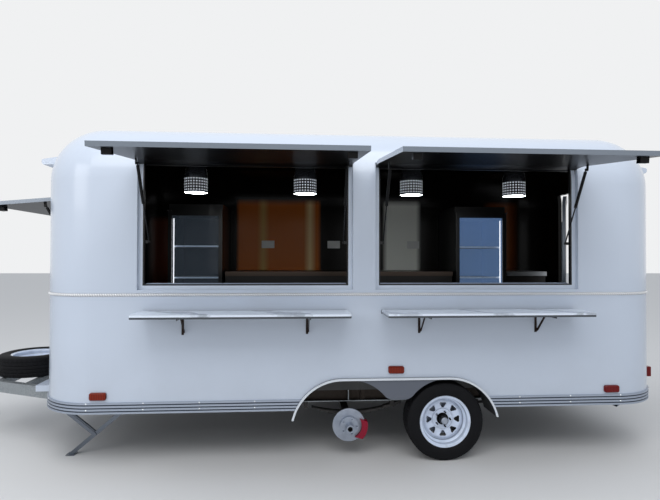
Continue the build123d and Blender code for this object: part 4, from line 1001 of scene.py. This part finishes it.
def rim_pieces(name, centre, axle):
    """Barrel and dish of one rim, both turned about the axle; z is outward, in metres.

    The dish has eight windows at radius r 111 mm. With u = r - 111 along the radius and v
    across it, a window is where |v| < 7 + 0.58 (u + 24) mm up to u = 12, and closes by
    1.2 mm a millimetre from there to u = 19. Five stud holes are 7 mm in radius at r 57.
    """
    basis = np.array(Vector(axle).to_track_quat("Z", "Y").to_matrix())
    across = np.array([1.0, 0.0, 0.0])
    up = np.cross(basis[:, 2], across) if abs(axle[2]) > 0.5 else np.array([0.0, 0.0, 1.0])

    def turned(profile, steps):
        profile = np.asarray(profile)
        spin = np.linspace(0, TAU, steps, endpoint=False)
        ring = np.cos(spin)[:, None] * across + np.sin(spin)[:, None] * up
        return (
            np.asarray(centre) + ring[:, None] * profile[None, :, :1]
            + basis[:, 2] * profile[None, :, 1:]
        )

    corners = np.array([
        (0.1950, 0.0810), (0.1962, 0.0785), (0.1925, 0.0765), (0.1800, 0.0740),
        (0.1782, 0.0700), (0.1778, 0.0450), (0.1740, 0.0400), (0.1620, 0.0290),
        (0.1590, 0.0240), (0.1590, -0.0240), (0.1780, -0.0440), (0.1780, -0.0700),
        (0.1950, -0.0800),
    ])
    share = np.linspace(0, len(corners) - 1, 3 * len(corners) - 2)
    barrel = np.column_stack(
        [np.interp(share, np.arange(len(corners)), corners[:, i]) for i in (0, 1)]
    )
    face_r = np.linspace(0.046, 0.158, 44)
    face_z = np.interp(
        face_r, (0.046, 0.076, 0.080, 0.088, 0.094, 0.130, 0.138, 0.158),
        (0.0025, 0.0025, 0.0035, 0.0100, 0.0115, 0.0150, 0.0140, 0.0045),
    )
    steps = 240
    cell_r = (face_r[:-1] + face_r[1:])[None, :] / 2
    cell_turn = (np.arange(steps) + 0.5)[:, None] / steps * TAU
    window_turn = (cell_turn + TAU / 16) % (TAU / 8) - TAU / 16
    u = (cell_r * np.cos(window_turn) - 0.111) * 1000
    v = np.abs(cell_r * np.sin(window_turn)) * 1000
    width = np.where(u < 12, 7 + 0.58 * (u + 24), 27.9 - 1.2 * (u - 12))
    window = (u > -24) & (u < 19) & (v < width)
    stud_turn = (cell_turn + TAU / 10) % (TAU / 5) - TAU / 10
    stud = np.hypot(cell_r * np.cos(stud_turn) - 0.05715, cell_r * np.sin(stud_turn)) < 0.007
    dish = grid_mesh(
        f"{name}_dish", turned(np.column_stack([face_r, face_z]), steps), wrap_u=True,
        keep=~(window | stud), uv=np.tile(np.column_stack([face_r, face_z]), (steps, 1, 1)),
    )
    rolled = grid_mesh(
        f"{name}_barrel", turned(barrel, 128), wrap_u=True, uv=np.tile(barrel, (128, 1, 1))
    )
    return rolled, dish


rim_places = {
    name.replace("tyre", "rim"): place for name, place in tyre_places.items()
    if name != "spare_tyre"
}
rim_places["spare_rim"] = tyre_places["spare_tyre"]
for name, (centre, axle, body) in rim_places.items():
    pieces = rim_pieces(name, centre, axle)
    for piece in pieces:
        skin = piece.modifiers.new("sheet", "SOLIDIFY")
        skin.thickness = 0.004
        skin.offset = 0.0
        fit_piece(piece, rim_enamel, body)
    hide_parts(name)

# Hubs and discs: cast iron turned bright, the bare one in view with a little grey film.
# Turning marks run round the disc about 1 mm apart, drawn at 3 mm so that they show.
turned_iron, iron_main = start_material("turned_cast_iron", "B6BAC0", Metallic=0.8, Roughness=0.42)
iron_place, iron_x, iron_y, iron_z = rest_place(turned_iron)
iron_noise = add_node(
    turned_iron, "TexNoise", {"Vector": iron_place, "Scale": 20.0, "Detail": 6.0}
)
iron_colour = add_node(
    turned_iron, "Mix",
    {0: iron_noise.outputs["Fac"], 6: linear("868E9C"), 7: linear("BAC2CF")}, data_type="RGBA",
)
# Distance from the axle's line, whichever axle is nearer; the bare hub sits 48 mm lower.
bare_z = 0.250
axle_middle, axle_half = (front_x + rear_x) / 2, (rear_x - front_x) / 2
spoke_x = add_node(
    turned_iron, "Math",
    {0: distance(turned_iron, iron_x, axle_middle), 1: axle_half}, operation="SUBTRACT",
)
is_bare = zone(turned_iron, (
    (iron_y, "LESS_THAN", 0.0),
    (iron_x, "LESS_THAN", axle_middle),
))
axle_z = add_node(
    turned_iron, "MapRange", {"Value": is_bare, "To Min": wheel_z, "To Max": bare_z}
)
spoke_z = add_node(turned_iron, "Math", {0: iron_z, 1: axle_z}, operation="SUBTRACT")
iron_flat = add_node(turned_iron, "CombineXYZ", {"X": spoke_x, "Y": spoke_z})
iron_r = add_node(turned_iron, "VectorMath", {0: iron_flat}, operation="LENGTH")
iron_turns = add_node(
    turned_iron, "Math", {0: iron_r.outputs["Value"], 1: TAU / 0.003}, operation="MULTIPLY"
)
iron_wave = add_node(turned_iron, "Math", {0: iron_turns}, operation="SINE")
iron_marks = add_node(
    turned_iron, "Bump", {"Height": iron_wave, "Strength": 0.25, "Distance": 0.0006}
)
feed(iron_main, "Normal", iron_marks.outputs["Normal"])
# The bare hub's end bore, an open hole, is near black as painted shade; a near-black ring
# lies round the caps of the other three.
dark_low = add_node(
    turned_iron, "MapRange", {"Value": is_bare, "To Min": 0.0262, "To Max": 0.0}
)
dark_high = add_node(
    turned_iron, "MapRange", {"Value": is_bare, "To Min": 0.062, "To Max": 0.0192}
)
iron_dark = zone(turned_iron, (
    (iron_r.outputs["Value"], "GREATER_THAN", dark_low),
    (iron_r.outputs["Value"], "LESS_THAN", dark_high),
))
iron_seen = add_node(
    turned_iron, "Mix",
    {0: iron_dark, 6: iron_colour.outputs[2], 7: linear("0D0D0E")}, data_type="RGBA",
)
feed(iron_main, "Base Color", iron_seen.outputs[2])
for name in ("hub_near_front", "hub_near_rear", "hub_far_front", "hub_far_rear"):
    dress(name, turned_iron)

# Calipers: cast iron in red enamel, bolted behind each disc. Only the one on the bare hub
# shows red; the others, behind the fitted wheels, are near black as painted shade.
caliper_red, caliper_main = start_material(
    "red_caliper_enamel", "8A0A2A", Roughness=0.4, Specular_IOR_Level=0.3
)
_, caliper_x, caliper_y, _ = rest_place(caliper_red)
caliper_painted_shade = zone(caliper_red, (
    (caliper_x, "GREATER_THAN", 3.8),
    (caliper_y, "GREATER_THAN", 0.0),
), "MAXIMUM")
caliper_shown = add_node(
    caliper_red, "Mix",
    {0: caliper_painted_shade, 6: linear("8A0A2A"), 7: linear("141416")}, data_type="RGBA",
)
feed(caliper_main, "Base Color", caliper_shown.outputs[2])
dress("calipers", caliper_red)

# Springs and axles: rolled spring steel and welded tube in dull black paint, with patches
# of brown-grey road film all over.
chassis_black, dull_main = start_material("dull_black_paint", "26262A", Roughness=0.6)
dull_place = add_node(chassis_black, "TexCoord").outputs["Object"]
dull_noise = add_node(
    chassis_black, "TexNoise", {"Vector": dull_place, "Scale": 12.0, "Detail": 7.0}
)
dull_colour = add_node(
    chassis_black, "Mix",
    {0: dull_noise.outputs["Fac"], 6: linear("18181B"), 7: linear("403D3A")}, data_type="RGBA",
)
feed(dull_main, "Base Color", dull_colour.outputs[2])
for name in ("leaf_springs", "axles"):
    dress(name, chassis_black)

# Frame, drawbar, jack and coupler: welded steel, hot-dip galvanised. The zinc shows flat
# crystals 8 to 15 mm across in slightly different greys, and dull white bloom.
galvanised, zinc_coat_main = start_material(
    "hot_dip_galvanised", "8E9599", Metallic=0.7, Roughness=0.45
)
zinc_place, zinc_x, zinc_y, _ = rest_place(galvanised)
zinc_cells = add_node(
    galvanised, "TexVoronoi", {"Vector": zinc_place, "Scale": 85.0}, feature="F1"
)
zinc_bloom = add_node(
    galvanised, "TexNoise", {"Vector": zinc_place, "Scale": 6.0, "Detail": 6.0}
)
zinc_flake = add_node(galvanised, "SeparateColor", {0: zinc_cells.outputs["Color"]})
zinc_colour = add_node(
    galvanised, "Mix",
    {0: zinc_flake.outputs[0], 6: linear("81888D"), 7: linear("A2A8AC")}, data_type="RGBA",
)
zinc_final = add_node(
    galvanised, "Mix",
    {0: zinc_bloom.outputs["Fac"], 6: zinc_colour.outputs[2], 7: linear("9BA0A3")},
    data_type="RGBA",
)
# Rail webs behind the wheels are dark brown, between flanges left plain zinc.
web_share = zone(galvanised, (
    (zinc_x, "GREATER_THAN", 2.86), (zinc_x, "LESS_THAN", 4.56),
    (distance(galvanised, zinc_y, 0.0), "LESS_THAN", 0.783),
))
zinc_seen = add_node(
    galvanised, "Mix",
    {0: web_share, 6: zinc_final.outputs[2], 7: linear("2B241F")}, data_type="RGBA",
)
feed(zinc_coat_main, "Base Color", zinc_seen.outputs[2])
zinc_rough = add_node(
    galvanised, "MapRange", {"Value": zinc_flake.outputs[1], "To Min": 0.34, "To Max": 0.56}
)
feed(zinc_coat_main, "Roughness", zinc_rough.outputs[0])
for name in ("chassis", "steady_mounts", "drawbar", "coupler", "jack_tube", "jack_leg"):
    dress(name, galvanised)
# The steadies are zinc plated instead, shiny and darker.
plated, _ = start_material("bright_zinc_plate", "6F757E", Metallic=1.0, Roughness=0.24)
for end in ("front", "rear"):
    for side in ("near", "far"):
        dress(f"steady_brace_{end}_{side}", plated)
        dress(f"steady_leg_{end}_{side}", plated)
